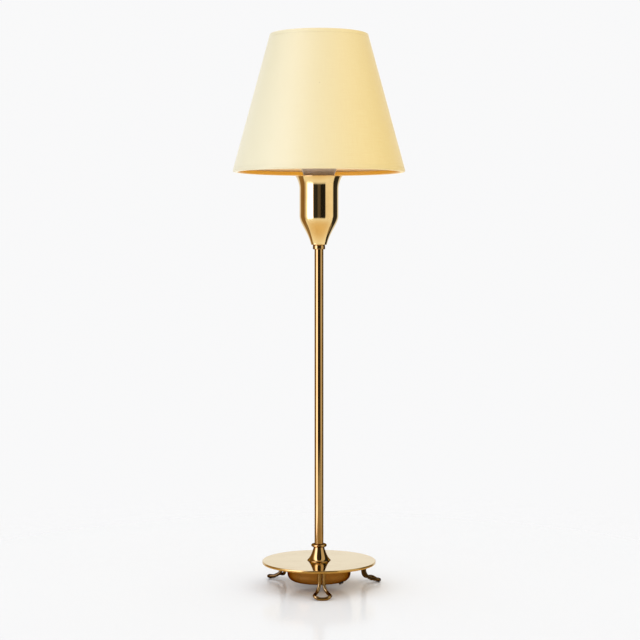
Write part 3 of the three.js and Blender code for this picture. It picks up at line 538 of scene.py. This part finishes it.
def buildFeet():
    path = footPath()
    for node, degrees in foot["degrees"].items():
        turn = Matrix.Rotation(math.radians(degrees), 4, "Z")
        points = [turn @ Vector(place) for place in path]
        # The side feet take the darker copy of the brass: painted shade under the disc.
        look = "foot_brass" if node == foot["handled"] else "shaded_foot_brass"
        piece = bentWire(camel(node), points, foot["wire"], finishes[look])
        for vert in piece.data.vertices:
            vert.co.z = max(vert.co.z, 0)  # worn flat where it stands
        dress(piece, "root", "foot_brass", node, look)


buildFeet()

# Weight pan: spun dish with a pressed-up seat for the washer
pan = {"rimRadius": 30.6 * mm, "draft": 2 * mm, "corner": 7.5 * mm, "wall": 0.9 * mm, "seatRadius": 12 * mm,
       "seatDraft": 1 * mm, "seatHeight": 10.3 * mm, "crease": 1.2 * mm, "creaseLean": 0.3, "creaseSteps": 5,
       "cornerSteps": 14, "wallSteps": 6, "segments": 160}


def panSkin(depth):
    low, rim = zRange("weight_pan")
    low += depth
    wallFoot = pan["rimRadius"] - pan["draft"] - depth
    corner = pan["corner"] - depth
    seat = pan["seatHeight"] + depth
    seatEdge = pan["seatRadius"] + depth
    seatFoot = seatEdge + pan["seatDraft"]
    crease = pan["crease"]
    lean = pan["creaseLean"] * crease
    skin = [(tubeHole, seat)]
    skin += quadratic((seatEdge - crease, seat), (seatEdge, seat), (seatEdge + lean, seat - crease),
                      pan["creaseSteps"])
    skin += quadratic((seatFoot - lean, low + crease), (seatFoot, low), (seatFoot + crease, low),
                      pan["creaseSteps"])
    skin += quadratic((wallFoot - corner, low), (wallFoot, low), (wallFoot, low + corner),
                      pan["cornerSteps"])
    wall = zip(evenRows(wallFoot, pan["rimRadius"] - depth, pan["wallSteps"]),
               evenRows(low + corner, rim, pan["wallSteps"]))
    return skin + list(wall)[1:]


def buildPan():
    profile = panSkin(0) + panSkin(pan["wall"])[::-1]
    turnPiece("weight_pan", profile, pan["segments"], "root", "pan_brass")


buildPan()

# Rubber bushing in the corner of the pan, round its own slanted axis
bushing = {"degrees": -37, "tilt": 62, "bore": 1.3 * mm, "neck": 1.9 * mm, "head": 2.3 * mm,
           "headStart": 0.3 * mm, "headEnd": 1.4 * mm, "headEdge": 0.75 * mm, "boreEdge": 0.2 * mm,
           "edgeSteps": 8, "lip": 2.4 * mm, "lipStart": -3.775 * mm, "lipEnd": -2.775 * mm, "segments": 48}


def buildBushing():
    bore, neck, head, lip = (bushing[key] for key in ("bore", "neck", "head", "lip"))
    lipStart, lipEnd = bushing["lipStart"], bushing["lipEnd"]
    headStart, headEnd = bushing["headStart"], bushing["headEnd"]
    headEdge, boreEdge, steps = bushing["headEdge"], bushing["boreEdge"], bushing["edgeSteps"]
    profile = [(bore, lipStart), (lip, lipStart), (lip, lipEnd), (neck, lipEnd), (neck, headStart),
               (head, headStart)]
    profile += arc(head - headEdge, headEnd - headEdge, headEdge, 0, 90, steps)
    profile += arc(bore + boreEdge, headEnd - boreEdge, boreEdge, 90, 180, steps)
    piece = spin("inletBushing", profile, bushing["segments"])
    tilt = math.radians(bushing["tilt"])
    seatRadius = pan["rimRadius"] - pan["draft"] - pan["corner"] * (1 - math.cos(tilt))
    seatHeight = zRange("weight_pan")[0] + pan["corner"] * (1 - math.sin(tilt))
    turn = Matrix.Rotation(math.radians(bushing["degrees"]), 4, "Z")
    lean = Matrix.Rotation(math.pi / 2 + tilt, 4, "Y")
    piece.data.transform(turn @ Matrix.Translation((seatRadius, 0, seatHeight)) @ lean)
    dress(piece, "root", "black_rubber", "inlet_bushing")


buildBushing()

# Washer and nut that hold the pan, the disc and the stem together
under = {"washerRadius": 9 * mm, "washerEdge": 0.2 * mm, "edgeSteps": 3, "nutCorner": 6.004 * mm,
         "nutChamfer": 0.5 * mm, "chamferReach": 0.8 * mm, "nutSharp": 20, "segments": 96}


def buildUnderside():
    profile = roundRing(under["washerRadius"], *zRange("pan_washer"), under["washerEdge"], under["edgeSteps"])
    turnPiece("pan_washer", profile, under["segments"], "root", "zinc_steel")
    bottom, top = zRange("pan_nut")
    chamfer = under["nutChamfer"]
    corner = under["nutCorner"]
    face = corner - under["chamferReach"]
    half = math.pi / 6  # of the angle that one flat takes

    def hexagon(radius, height, angle):  # flats at the nut's own width, corners turned off at both ends
        if radius <= tubeHole:
            return radius, height
        flat = corner * math.cos(half) / math.cos((angle + half) % (2 * half) - half)
        return min(flat, radius), height

    profile = [(tubeHole, bottom), (face, bottom), (corner, bottom + chamfer),
               (corner, top - chamfer), (face, top), (tubeHole, top)]
    turnPiece("pan_nut", profile, under["segments"], "root", "zinc_steel", bulge=hexagon,
              sharpDegrees=under["nutSharp"])


buildUnderside()

# Knop: trumpet flare with a thin rim, under a bead
knop = {"rimHeight": 0.6 * mm, "rimEdge": 0.25 * mm, "neck": 4.8 * mm, "neckHeight": 12.4 * mm,
        "flareReach": 2.8 * mm, "flareHold": 2 * mm, "neckSplay": 0.8 * mm, "neckHold": 3.9 * mm,
        "flareSteps": 28, "cove": 0.35 * mm, "beadRadius": 7 * mm, "beadSteps": 16, "rimTurn": 60,
        "rimSteps": 5, "sharp": 50, "segments": 160}


def buildKnop():
    bottom, top = zRange("knop")
    base = outerRadius("knop")
    neck, cove, edge = knop["neck"], knop["cove"], knop["rimEdge"]
    rim = bottom + knop["rimHeight"]
    neckTop = bottom + knop["neckHeight"]
    bead = (top - neckTop) / 2
    profile = [(tubeHole, bottom)]
    profile += arc(base - edge, bottom + edge, edge, -90, knop["rimTurn"], knop["rimSteps"])
    profile += bezier((base - edge, rim), (neck + knop["flareReach"], rim + knop["flareHold"]),
                      (neck + knop["neckSplay"], neckTop - knop["neckHold"]), (neck, neckTop - cove),
                      knop["flareSteps"])
    profile += [(neck + cove, neckTop)]
    profile += arc(knop["beadRadius"] - bead, neckTop + bead, bead, -90, 90, knop["beadSteps"])
    profile += [(neck + cove, top), (tubeHole, top)]
    turnPiece("knop", profile, knop["segments"], "root", "polished_brass", "stem_brass",
              sharpDegrees=knop["sharp"])


buildKnop()

# Stem tube: plain, as the slot for the leads is out of sight between the disc and the pan
stem = {"radius": 4 * mm, "bore": 3 * mm, "chamfer": 0.3 * mm, "rings": 60, "segments": 128}


def buildStem():
    bottom, top = zRange("stem")
    chamfer = stem["chamfer"]
    profile = [(stem["bore"], bottom), (stem["radius"] - chamfer, bottom)]
    profile += [(stem["radius"], z) for z in evenRows(bottom + chamfer, top - chamfer, stem["rings"])]
    profile += [(stem["radius"] - chamfer, top), (stem["bore"], top)]
    turnPiece("stem", profile, stem["segments"], "root", "polished_brass", "stem_brass")


buildStem()

# Collar: ring with rounded edges under the cup
collar = {"edge": 0.6 * mm, "steps": 6, "segments": 128}


def buildCollar():
    profile = roundRing(outerRadius("collar"), *zRange("collar"), collar["edge"], collar["steps"])
    turnPiece("collar", profile, collar["segments"], "root", "polished_brass", "stem_brass")


buildCollar()

# Cup: ogee bottom, straight wall and a flared lip with a rounded edge
cup = {"foot": 7.2 * mm, "wallRadius": 17.5 * mm, "shoulderTop": 335 * mm, "flareBottom": 358.5 * mm,
       "footSplay": 3.2 * mm, "footHold": 0.5, "shoulderHold": 0.3, "flareHold": 0.47, "wall": 0.8 * mm,
       "footEdge": 0.7 * mm, "footTurn": -15, "footSteps": 5, "ogeeSteps": 40, "wallSteps": 6,
       "flareSteps": 24, "lipSteps": 8, "segments": 192}


def cupSkin():
    bottom, rim = zRange("socket_cup")
    base, edge, wall = cup["foot"], cup["footEdge"], cup["wallRadius"]
    shoulder, flare = cup["shoulderTop"], cup["flareBottom"]
    rise = shoulder - bottom
    skin = arc(base - edge, bottom + edge, edge, -90, cup["footTurn"], cup["footSteps"])
    skin += bezier((base, bottom + edge), (base + cup["footSplay"], bottom + rise * cup["footHold"]),
                   (wall, shoulder - rise * cup["shoulderHold"]), (wall, shoulder), cup["ogeeSteps"])
    skin += [(wall, z) for z in evenRows(shoulder, flare, cup["wallSteps"])[1:-1]]
    skin += quadratic((wall, flare), (wall, flare + (rim - flare) * cup["flareHold"]),
                      (outerRadius("socket_cup"), rim), cup["flareSteps"])
    return skin


def buildCup():
    outer = cupSkin()
    inner = inset(outer, cup["wall"])
    bottom = outer[0][1]
    (r0, z0), (r1, z1) = outer[-1], inner[-1]
    centre = ((r0 + r1) / 2, (z0 + z1) / 2)
    across = math.degrees(math.atan2(z0 - centre[1], r0 - centre[0]))
    lip = arc(*centre, cup["wall"] / 2, across, across + 180, cup["lipSteps"])
    drop = max(z for r, z in lip) - zRange("socket_cup")[1]  # keeps the rounded lip at the rim's height
    profile = [(tubeHole, bottom)] + outer[:-1]
    profile += [(r, z - drop) for r, z in lip]
    profile += inner[-2::-1] + [(tubeHole, bottom + cup["wall"])]
    turnPiece("socket_cup", profile, cup["segments"], "root", "polished_brass")


buildCup()
print("brass pieces done")

# Lampholder body: moulded sleeve with a chamfered lip and a ring of fine grip ribs
holder = {"radius": 13.5 * mm, "bore": 12.3 * mm, "lipHole": 8.6 * mm, "lip": 2 * mm, "edge": 1 * mm,
          "edgeSteps": 6, "ribs": 48, "ribDepth": 0.25 * mm, "ribFrom": 6 * mm, "ribTo": 22 * mm,
          "ribRows": (0, 0.03, 0.5, 0.97, 1), "segments": 192}


def wave(angle):  # from 0 to 1
    return 0.5 - 0.5 * math.cos(angle)


def buildHolder():
    bottom, top = zRange("lampholder_body")
    wall, bore, hole, edge = holder["radius"], holder["bore"], holder["lipHole"], holder["edge"]
    rise = holder["ribTo"] - holder["ribFrom"]

    def ribbed(radius, height, angle):
        up = (height - bottom - holder["ribFrom"]) / rise
        if radius < wall - tiny or not 0 < up < 1:
            return radius, height
        return radius - holder["ribDepth"] * wave(holder["ribs"] * angle), height

    profile = [(bore, bottom), (wall, bottom)]
    profile += [(wall, bottom + holder["ribFrom"] + rise * share) for share in holder["ribRows"]]
    profile += arc(wall - edge, top - edge, edge, 0, 90, holder["edgeSteps"])
    lipUnder = top - holder["lip"]
    profile += [(hole + edge / 2, top), (hole, top - edge / 2), (hole, lipUnder), (bore, lipUnder)]
    turnPiece("lampholder_body", profile, holder["segments"], "root", "black_moulding", bulge=ribbed)


buildHolder()

# Bulb: threaded cap, flared housing and opal globe
bulb = {"capWall": 0.4 * mm, "threadPitch": 2.82 * mm, "threadDepth": 0.35 * mm, "threadRings": 72,
        "threadFade": 1 * mm, "threadStop": 4 * mm, "spigot": 6.15 * mm, "housingBase": 11 * mm,
        "housingTop": 20 * mm, "seat": 360.3 * mm, "flareHold": 0.55, "flareReach": 0.33, "flareLift": 1.5,
        "flareSteps": 24, "rimEdge": 0.6 * mm, "baseTurn": -10, "rimTurn": 20, "rimSteps": 5,
        "globeRadius": 22.5 * mm, "globeCentre": 395 * mm, "globeWall": 1.5 * mm, "globeSteps": 32,
        "segments": 128}


def buildCap():
    bottom, top = zRange("bulb_cap")
    body = outerRadius("bulb_cap")

    def threaded(radius, height, angle):
        up = height - bottom
        left = top - bulb["threadStop"] - height
        fade = min(1, up / bulb["threadFade"], max(0, left / bulb["threadFade"]))
        groove = wave(2 * math.pi * up / bulb["threadPitch"] - angle)
        return radius - bulb["threadDepth"] * groove * fade, height

    rows = evenRows(bottom, top, bulb["threadRings"])
    profile = [(body, z) for z in rows] + [(body - bulb["capWall"], z) for z in reversed(rows)]
    turnPiece("bulb_cap", profile, bulb["segments"], "bulb", "nickel_cap", bulge=threaded)


def buildHousing():
    low, high = zRange("bulb_housing")
    seat, edge, steps = bulb["seat"], bulb["rimEdge"], bulb["rimSteps"]
    base, wide = bulb["housingBase"], bulb["housingTop"]
    corner = (base + (wide - base) * bulb["flareReach"], seat + (high - seat) * bulb["flareHold"])
    profile = [(0, low), (bulb["spigot"], low), (bulb["spigot"], seat)]
    profile += arc(base - edge, seat + edge, edge, -90, bulb["baseTurn"], steps)
    profile += quadratic((base, seat + bulb["flareLift"] * edge), corner, (wide - edge / 2, high - edge),
                         bulb["flareSteps"])
    profile += arc(wide - edge, high - edge, edge, bulb["rimTurn"], 90, steps) + [(0, high)]
    turnPiece("bulb_housing", profile, bulb["segments"], "bulb", "grey_plastic")


def buildGlobe():
    centre = bulb["globeCentre"]
    cutDepth = centre - zRange("bulb_globe")[0]
    skins = []
    for radius in (bulb["globeRadius"], bulb["globeRadius"] - bulb["globeWall"]):
        start = -math.degrees(math.asin(cutDepth / radius))
        skin = arc(0, centre, radius, start, 90, bulb["globeSteps"])
        skins.append(skin[:-1] + [(0, centre + radius)])
    turnPiece("bulb_globe", skins[1][::-1] + skins[0], bulb["segments"], "bulb", "opal_plastic")


buildCap()
buildHousing()
buildGlobe()
print("bulb and holder done")

# Shade: stiff laminated cone of cover and lining, edges folded round wire rings
shade = {"bottomRadius": 77.5 * mm, "topRadius": 43.65 * mm, "coverDepth": 0.5 * mm,
         "coverThickness": 0.6 * mm, "liningDepth": 1.2 * mm, "liningThickness": 0.5 * mm,
         "seamGap": 0.06 * mm, "rows": 24, "segments": 256}
hem = {"thickness": 0.4 * mm, "height": 3.6 * mm, "ringDepth": 3.359 * mm, "ringInset": 2 * mm,
       "ringGap": 0.3 * mm, "foldPower": 0.6, "foldSteps": 20, "legRows": 3}


def shadeRadius(height, depth):
    bottom, top = zRange("bottom_hem")[0], zRange("top_hem")[1]
    share = (height - bottom) / (top - bottom)
    return shade["bottomRadius"] + (shade["topRadius"] - shade["bottomRadius"]) * share - depth


def coneRows(low, high, depth):
    return [(shadeRadius(z, depth), z) for z in evenRows(low, high, shade["rows"])]


def buildCover():
    low, high = zRange("shade_cover")
    depth = shade["coverDepth"]
    seam = hem["height"] + shade["seamGap"]
    lowSeam, highSeam = zRange("bottom_hem")[0] + seam, zRange("top_hem")[1] - seam
    profile = [(shadeRadius(z, depth), z) for z in (low, lowSeam)]
    profile += coneRows(lowSeam, highSeam, 0)  # flush with the hems
    profile += [(shadeRadius(z, depth), z) for z in (highSeam, high)]
    profile += coneRows(high, low, depth + shade["coverThickness"])
    turnPiece("shade_cover", profile, shade["segments"], "shade", "cream_cloth")


def buildLining():
    low, high = zRange("shade_lining")
    depth = shade["liningDepth"]
    profile = coneRows(low, high, depth) + coneRows(high, low, depth + shade["liningThickness"])
    turnPiece("shade_lining", profile, shade["segments"], "shade", "ochre_lining")


buildCover()
buildLining()


def buildHem(node, edge, inward):  # folded over the ring, with a leg inside
    thick = hem["thickness"]
    turnHeight = edge + inward * hem["ringInset"]
    inside = shadeRadius(turnHeight, hem["ringDepth"]) - plainWire["radius"] - hem["ringGap"]
    rows = evenRows(edge + inward * hem["height"], turnHeight, hem["legRows"])[:-1]

    def fold(depth):
        outer = shadeRadius(turnHeight, depth)
        inner = inside - thick + depth
        low = edge + inward * depth
        half = (outer - inner) / 2
        bend = []
        for a in evenRows(0, math.pi, hem["foldSteps"]):
            drop = max(math.sin(a), 0) ** hem["foldPower"]
            bend.append((outer - half + half * math.cos(a), turnHeight + (low - turnHeight) * drop))
        return [(shadeRadius(z, depth), z) for z in rows] + bend + [(inner, z) for z in reversed(rows)]

    turnPiece(node, fold(0) + fold(thick)[::-1], shade["segments"], "shade", "hem_cloth")


buildHem("bottom_hem", zRange("bottom_hem")[0], 1)
buildHem("top_hem", zRange("top_hem")[1], -1)


def buildRing(node):
    low, high = zRange(node)
    height = (low + high) / 2
    radius = shadeRadius(height, hem["ringDepth"])
    angles = evenRows(0, 2 * math.pi, shade["segments"])[:-1]
    points = [(radius * math.cos(a), radius * math.sin(a), height) for a in angles]
    springWire(node, points, plainWire, "shade", closed=True)


buildRing("top_ring")
buildRing("bottom_ring")

# Carrier wire across the shade, and the clip whose two jaws grip the globe
carrier = {"armRadius": 40.84 * mm, "armTop": 492.9 * mm, "armBend": 483.9 * mm, "barEnd": 17.9 * mm,
           "pivot": 432 * mm, "bend": 4 * mm, "steps": 10}


def bentPath(corners, bend, steps):
    points = [corners[0]]
    for before, corner, after in zip(corners, corners[1:], corners[2:]):
        start = corner + (before - corner).normalized() * bend
        end = corner + (after - corner).normalized() * bend
        points += [Vector(p) for p in quadratic(tuple(start), tuple(corner), tuple(end), steps)]
    return points + [corners[-1]]


def mirrored(half):
    return half + [Vector((-p.x, p.y, p.z)) for p in reversed(half[:-1])]


def buildCarrier():
    arm, pivot = carrier["armRadius"], carrier["pivot"]
    spots = ((arm, carrier["armTop"]), (arm, carrier["armBend"]), (carrier["barEnd"], pivot), (0, pivot))
    corners = [Vector((x, 0, z)) for x, z in spots]
    path = mirrored(bentPath(corners, carrier["bend"], carrier["steps"]))
    springWire("carrier_wire", path, plainWire, "shade")


buildCarrier()

jaw = {"eyeRadius": 2.5 * mm, "eyeTurn": 300, "spread": 38, "topLift": 52, "reach": 23.7 * mm, "drop": 4 * mm,
       "bend": 3 * mm, "armPull": 9 * mm, "steps": 24, "turnSteps": 10,
       "offsets": {"clip_jaw_front": 6 * mm, "clip_jaw_back": 9 * mm},
       "wire": dict(plainWire, radius=0.9 * mm, sides=16)}


def jawPath(eyeOffset):
    up = Vector((0, 0, 1))
    spread, top, eyeTurn = (math.radians(jaw[key]) for key in ("spread", "topLift", "eyeTurn"))
    outwardWay = Vector((math.sin(spread), -math.cos(spread), 0))
    reach, steps, ring = jaw["reach"], jaw["steps"], jaw["eyeRadius"]
    eye = [Vector((eyeOffset, -ring * math.cos(a), carrier["pivot"] + ring * math.sin(a)))
           for a in evenRows(eyeTurn, 0, steps)]
    hug = [up * bulb["globeCentre"] + reach * (outwardWay * math.cos(a) + up * math.sin(a))
           for a in evenRows(top, 0, steps)]
    downAlong = outwardWay * math.sin(top) - up * math.cos(top)
    arm = bezier(tuple(eye[-1]), tuple(eye[-1] - up * jaw["armPull"]),
                 tuple(hug[0] - downAlong * jaw["armPull"]), tuple(hug[0]), steps)
    dropEnd = hug[-1] - up * jaw["drop"]
    corner = dropEnd - up * jaw["bend"]
    bow = [Vector((reach * math.sin(a), -reach * math.cos(a), corner.z))
           for a in evenRows(spread - jaw["bend"] / reach, 0, steps)]
    turn = quadratic(tuple(dropEnd), tuple(corner), tuple(bow[0]), jaw["turnSteps"])
    return mirrored(eye[:-1] + [Vector(p) for p in arm[:-1]] + hug + [Vector(p) for p in turn[:-1]] + bow)


def buildJaws():
    for node, offset in jaw["offsets"].items():
        path = jawPath(offset)
        if node == "clip_jaw_back":
            path = [Vector((-p.x, -p.y, p.z)) for p in path]
        springWire(node, path, jaw["wire"], "clip")


buildJaws()
print("shade and clip done")

# Pieces that keep their own solids, hidden in the base, the stem and the holder
kept = {"ballast": "cast_iron", "cup_nut": "zinc_steel", "lampholder_cap": "black_moulding",
        "contact_block": "white_ceramic", "screw_shell": "contact_brass", "centre_contact": "contact_brass",
        "terminal_screw_live": "contact_brass", "terminal_screw_neutral": "contact_brass",
        "lead_live": "brown_insulation", "lead_neutral": "blue_insulation",
        "bulb_foot_contact": "contact_brass", "bulb_insulator": "black_moulding", "led_board": "white_board"}
for node, slot in kept.items():
    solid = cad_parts[node]
    solid.data.materials.clear()
    solid.data.materials.append(finishes[slot])

# Floor: a pale satin table top that fades into the white ground. In reflections it ends behind the lamp,
# and on the left too where it is seen at a low angle. There it has painted warm light near the lamp, and a
# painted glow where metal sees it from above.
floor = {"radius": 1.2, "sides": 96, "fadeFrom": 0.14, "fadeTo": 0.58, "mirrorFrom": 0.55, "mirrorTo": 1.15,
         "backEdge": 0.07, "leftEdge": -0.25, "grazing": 0.3, "glow": 0.25, "albedo": (0.9, 0.905, 0.91, 1),
         "roughness": 0.14, "specular": 0.03, "warm": (0.74, 0.56, 0.3, 1), "paintedWarmLightFrom": 0.6, "warmTo": 0.12}


def buildFloor():
    mesh = bpy.data.meshes.new("floor")
    shape = bmesh.new()
    bmesh.ops.create_circle(shape, cap_ends=True, radius=floor["radius"], segments=floor["sides"])
    shape.to_mesh(mesh)
    shape.free()
    table = link("floor", mesh)
    material = bpy.data.materials.new("floorTop")
    material.use_nodes = True
    tree = material.node_tree
    shader = tree.nodes["Principled BSDF"]
    shader.inputs["Roughness"].default_value = floor["roughness"]
    shader.inputs["Specular IOR Level"].default_value = floor["specular"]
    place = addNode(tree, "ShaderNodeTexCoord").outputs["Object"]
    away = addNode(tree, "ShaderNodeVectorMath", {0: place}, operation="LENGTH").outputs["Value"]
    split = addNode(tree, "ShaderNodeSeparateXYZ", {"Vector": place}).outputs
    path = addNode(tree, "ShaderNodeLightPath").outputs
    seen, glossy = path["Is Camera Ray"], path["Is Glossy Ray"]
    geometry = addNode(tree, "ShaderNodeNewGeometry").outputs
    rise = addNode(tree, "ShaderNodeSeparateXYZ", {"Vector": geometry["Incoming"]}).outputs["Z"]
    # painted warm light on the floor near the lamp, seen only in reflections
    warmLightShare = math2(tree, "MULTIPLY", glossy, remap(tree, away, floor["paintedWarmLightFrom"], floor["warmTo"]))
    colour = mixColour(tree, warmLightShare, floor["albedo"], floor["warm"])
    tree.links.new(colour, shader.inputs["Base Color"])
    tree.links.new(colour, shader.inputs["Emission Color"])
    material.cycles.emission_sampling = "NONE"
    # painted glow: the floor shines where metal sees it from above
    glowShare = math2(tree, "MULTIPLY", glossy, math2(tree, "GREATER_THAN", rise, floor["grazing"]))
    tree.links.new(math2(tree, "MULTIPLY", glowShare, floor["glow"]), shader.inputs["Emission Strength"])
    fade = math2(tree, "MULTIPLY", seen, remap(tree, away, floor["fadeFrom"], floor["fadeTo"]))
    behind = math2(tree, "GREATER_THAN", split["Y"], floor["backEdge"])
    left = math2(tree, "MULTIPLY", math2(tree, "LESS_THAN", split["X"], floor["leftEdge"]),
                 math2(tree, "LESS_THAN", rise, floor["grazing"]))
    edges = math2(tree, "MAXIMUM", behind, left)
    ends = math2(tree, "MAXIMUM", edges, remap(tree, away, floor["mirrorFrom"], floor["mirrorTo"]))
    gone = math2(tree, "MAXIMUM", fade, math2(tree, "MULTIPLY", glossy, ends))
    share = math2(tree, "MAXIMUM", gone, geometry["Backfacing"])
    clear = addNode(tree, "ShaderNodeBsdfTransparent").outputs[0]
    mixed = addNode(tree, "ShaderNodeMixShader", {0: share, 1: shader.outputs[0], 2: clear}).outputs[0]
    tree.links.new(mixed, tree.nodes["Material Output"].inputs["Surface"])
    mesh.materials.append(material)


buildFloor()

# Studio, by degrees round from the camera: what the metal mirrors, and the soft light on everything else
studio = {
    "boxes": ((-180, (1.0, 1.0, 1.0)), (-141, (0.95, 0.93, 0.9)), (-132, (0.38, 0.24, 0.1)),
              (-98, (0.32, 0.19, 0.07)), (-84, (1.05, 1.0, 0.95)), (-77, (1.7, 1.7, 1.7)),
              (-68, (4.2, 4.2, 6.0)), (-38, (4.2, 4.2, 6.0)), (-33, (0.05, 0.05, 0.05)),
              (-10, (0.03, 0.03, 0.03)), (-6, (0.13, 0.11, 0.09)), (7, (0.13, 0.11, 0.09)),
              (11, (0.02, 0.02, 0.02)), (37, (0.02, 0.02, 0.02)), (41, (1.15, 1.12, 1.12)),
              (88, (1.25, 1.22, 1.2)), (95, (0.03, 0.03, 0.03)), (134, (0.05, 0.05, 0.05)),
              (143, (0.95, 0.95, 0.95)), (180, (1.0, 1.0, 1.0))),
    "boxesLow": (0.34, 0.26, 0.16, 1), "boxesTop": (0.5, 0.47, 0.42, 1), "boxesFrom": (-34, -29),
    "boxesTo": (66, 80),
    "soft": ((-180, (1.0, 1.0, 1.0)), (-90, (0.91, 0.99, 1.13)), (0, (1.32, 1.31, 1.28)),
             (90, (0.97, 0.9, 0.74)), (180, (1.0, 1.0, 1.0))),
    "softLow": (0.85, 0.85, 0.85, 1), "softTop": (1.05, 1.05, 1.08, 1), "softFrom": (-2, 1),
    "softTo": (45, 62),
    "seen": (0.945, 0.945, 0.95, 1),
}


def azimuthRamp(tree, around, bands):
    strongest = max(max(colour) for degrees, colour in bands)
    ramp = addNode(tree, "ShaderNodeValToRGB", {"Fac": around})
    stops = ramp.color_ramp.elements
    while len(stops) < len(bands):
        stops.new(0.5)
    for stop, (degrees, colour) in zip(stops, bands):
        stop.position = degrees / 360 + 0.5
        stop.color = (*(part / strongest for part in colour), 1)
    inputs = {0: ramp.outputs["Color"], 1: (strongest,) * 3}
    return addNode(tree, "ShaderNodeVectorMath", inputs, operation="MULTIPLY").outputs[0]


def buildStudio():
    world = bpy.data.worlds.new("studio")
    bpy.context.scene.world = world
    world.use_nodes = True
    tree = world.node_tree
    way = addNode(tree, "ShaderNodeTexCoord").outputs["Generated"]
    split = addNode(tree, "ShaderNodeSeparateXYZ", {"Vector": way}).outputs
    turn = math2(tree, "ARCTAN2", split["X"], math2(tree, "MULTIPLY", split["Y"], -1.0))
    around = math2(tree, "ADD", math2(tree, "DIVIDE", turn, 2 * math.pi), 0.5)
    lift = math2(tree, "MULTIPLY", math2(tree, "ARCSINE", split["Z"]), 180 / math.pi)
    rooms = []
    for key in ("soft", "boxes"):
        walls = mixColour(tree, remap(tree, lift, *studio[key + "From"]), studio[key + "Low"],
                          azimuthRamp(tree, around, studio[key]))
        rooms.append(mixColour(tree, remap(tree, lift, *studio[key + "To"]), walls, studio[key + "Top"]))
    path = addNode(tree, "ShaderNodeLightPath").outputs
    room = mixColour(tree, path["Is Glossy Ray"], *rooms)
    colour = mixColour(tree, path["Is Camera Ray"], room, studio["seen"])
    tree.links.new(colour, tree.nodes["Background"].inputs["Color"])


buildStudio()

# Soft card under the shade that lights the lining, seen by no camera and in no mirror
bounce = {"height": 0.352, "size": 0.12, "power": 0.068, "tint": (1.0, 0.97, 0.92)}


def buildBounce():
    lamp = bpy.data.lights.new("bounce", "AREA")
    lamp.shape = "DISK"
    lamp.size = bounce["size"]
    lamp.energy = bounce["power"]
    lamp.color = bounce["tint"]
    card = link("bounce", lamp)
    card.location.z = bounce["height"]
    card.rotation_euler.x = math.pi  # faces up
    card.visible_camera = False
    card.visible_glossy = False


buildBounce()
print("studio done")

# Camera at the photograph's angle
view = {"place": (0.0009, -1.4857, 0.3072), "tilt": 2.538, "lens": 93.18, "sensor": 36.0}
camera = bpy.data.cameras.new("camera")
camera.lens = view["lens"]
camera.sensor_width = view["sensor"]
cameraObject = link("camera", camera)
cameraObject.location = view["place"]
cameraObject.rotation_euler = (math.radians(90 - view["tilt"]), 0, 0)
bpy.context.scene.camera = cameraObject
bpy.context.scene.view_settings.view_transform = "Standard"

print("lamp dressed")
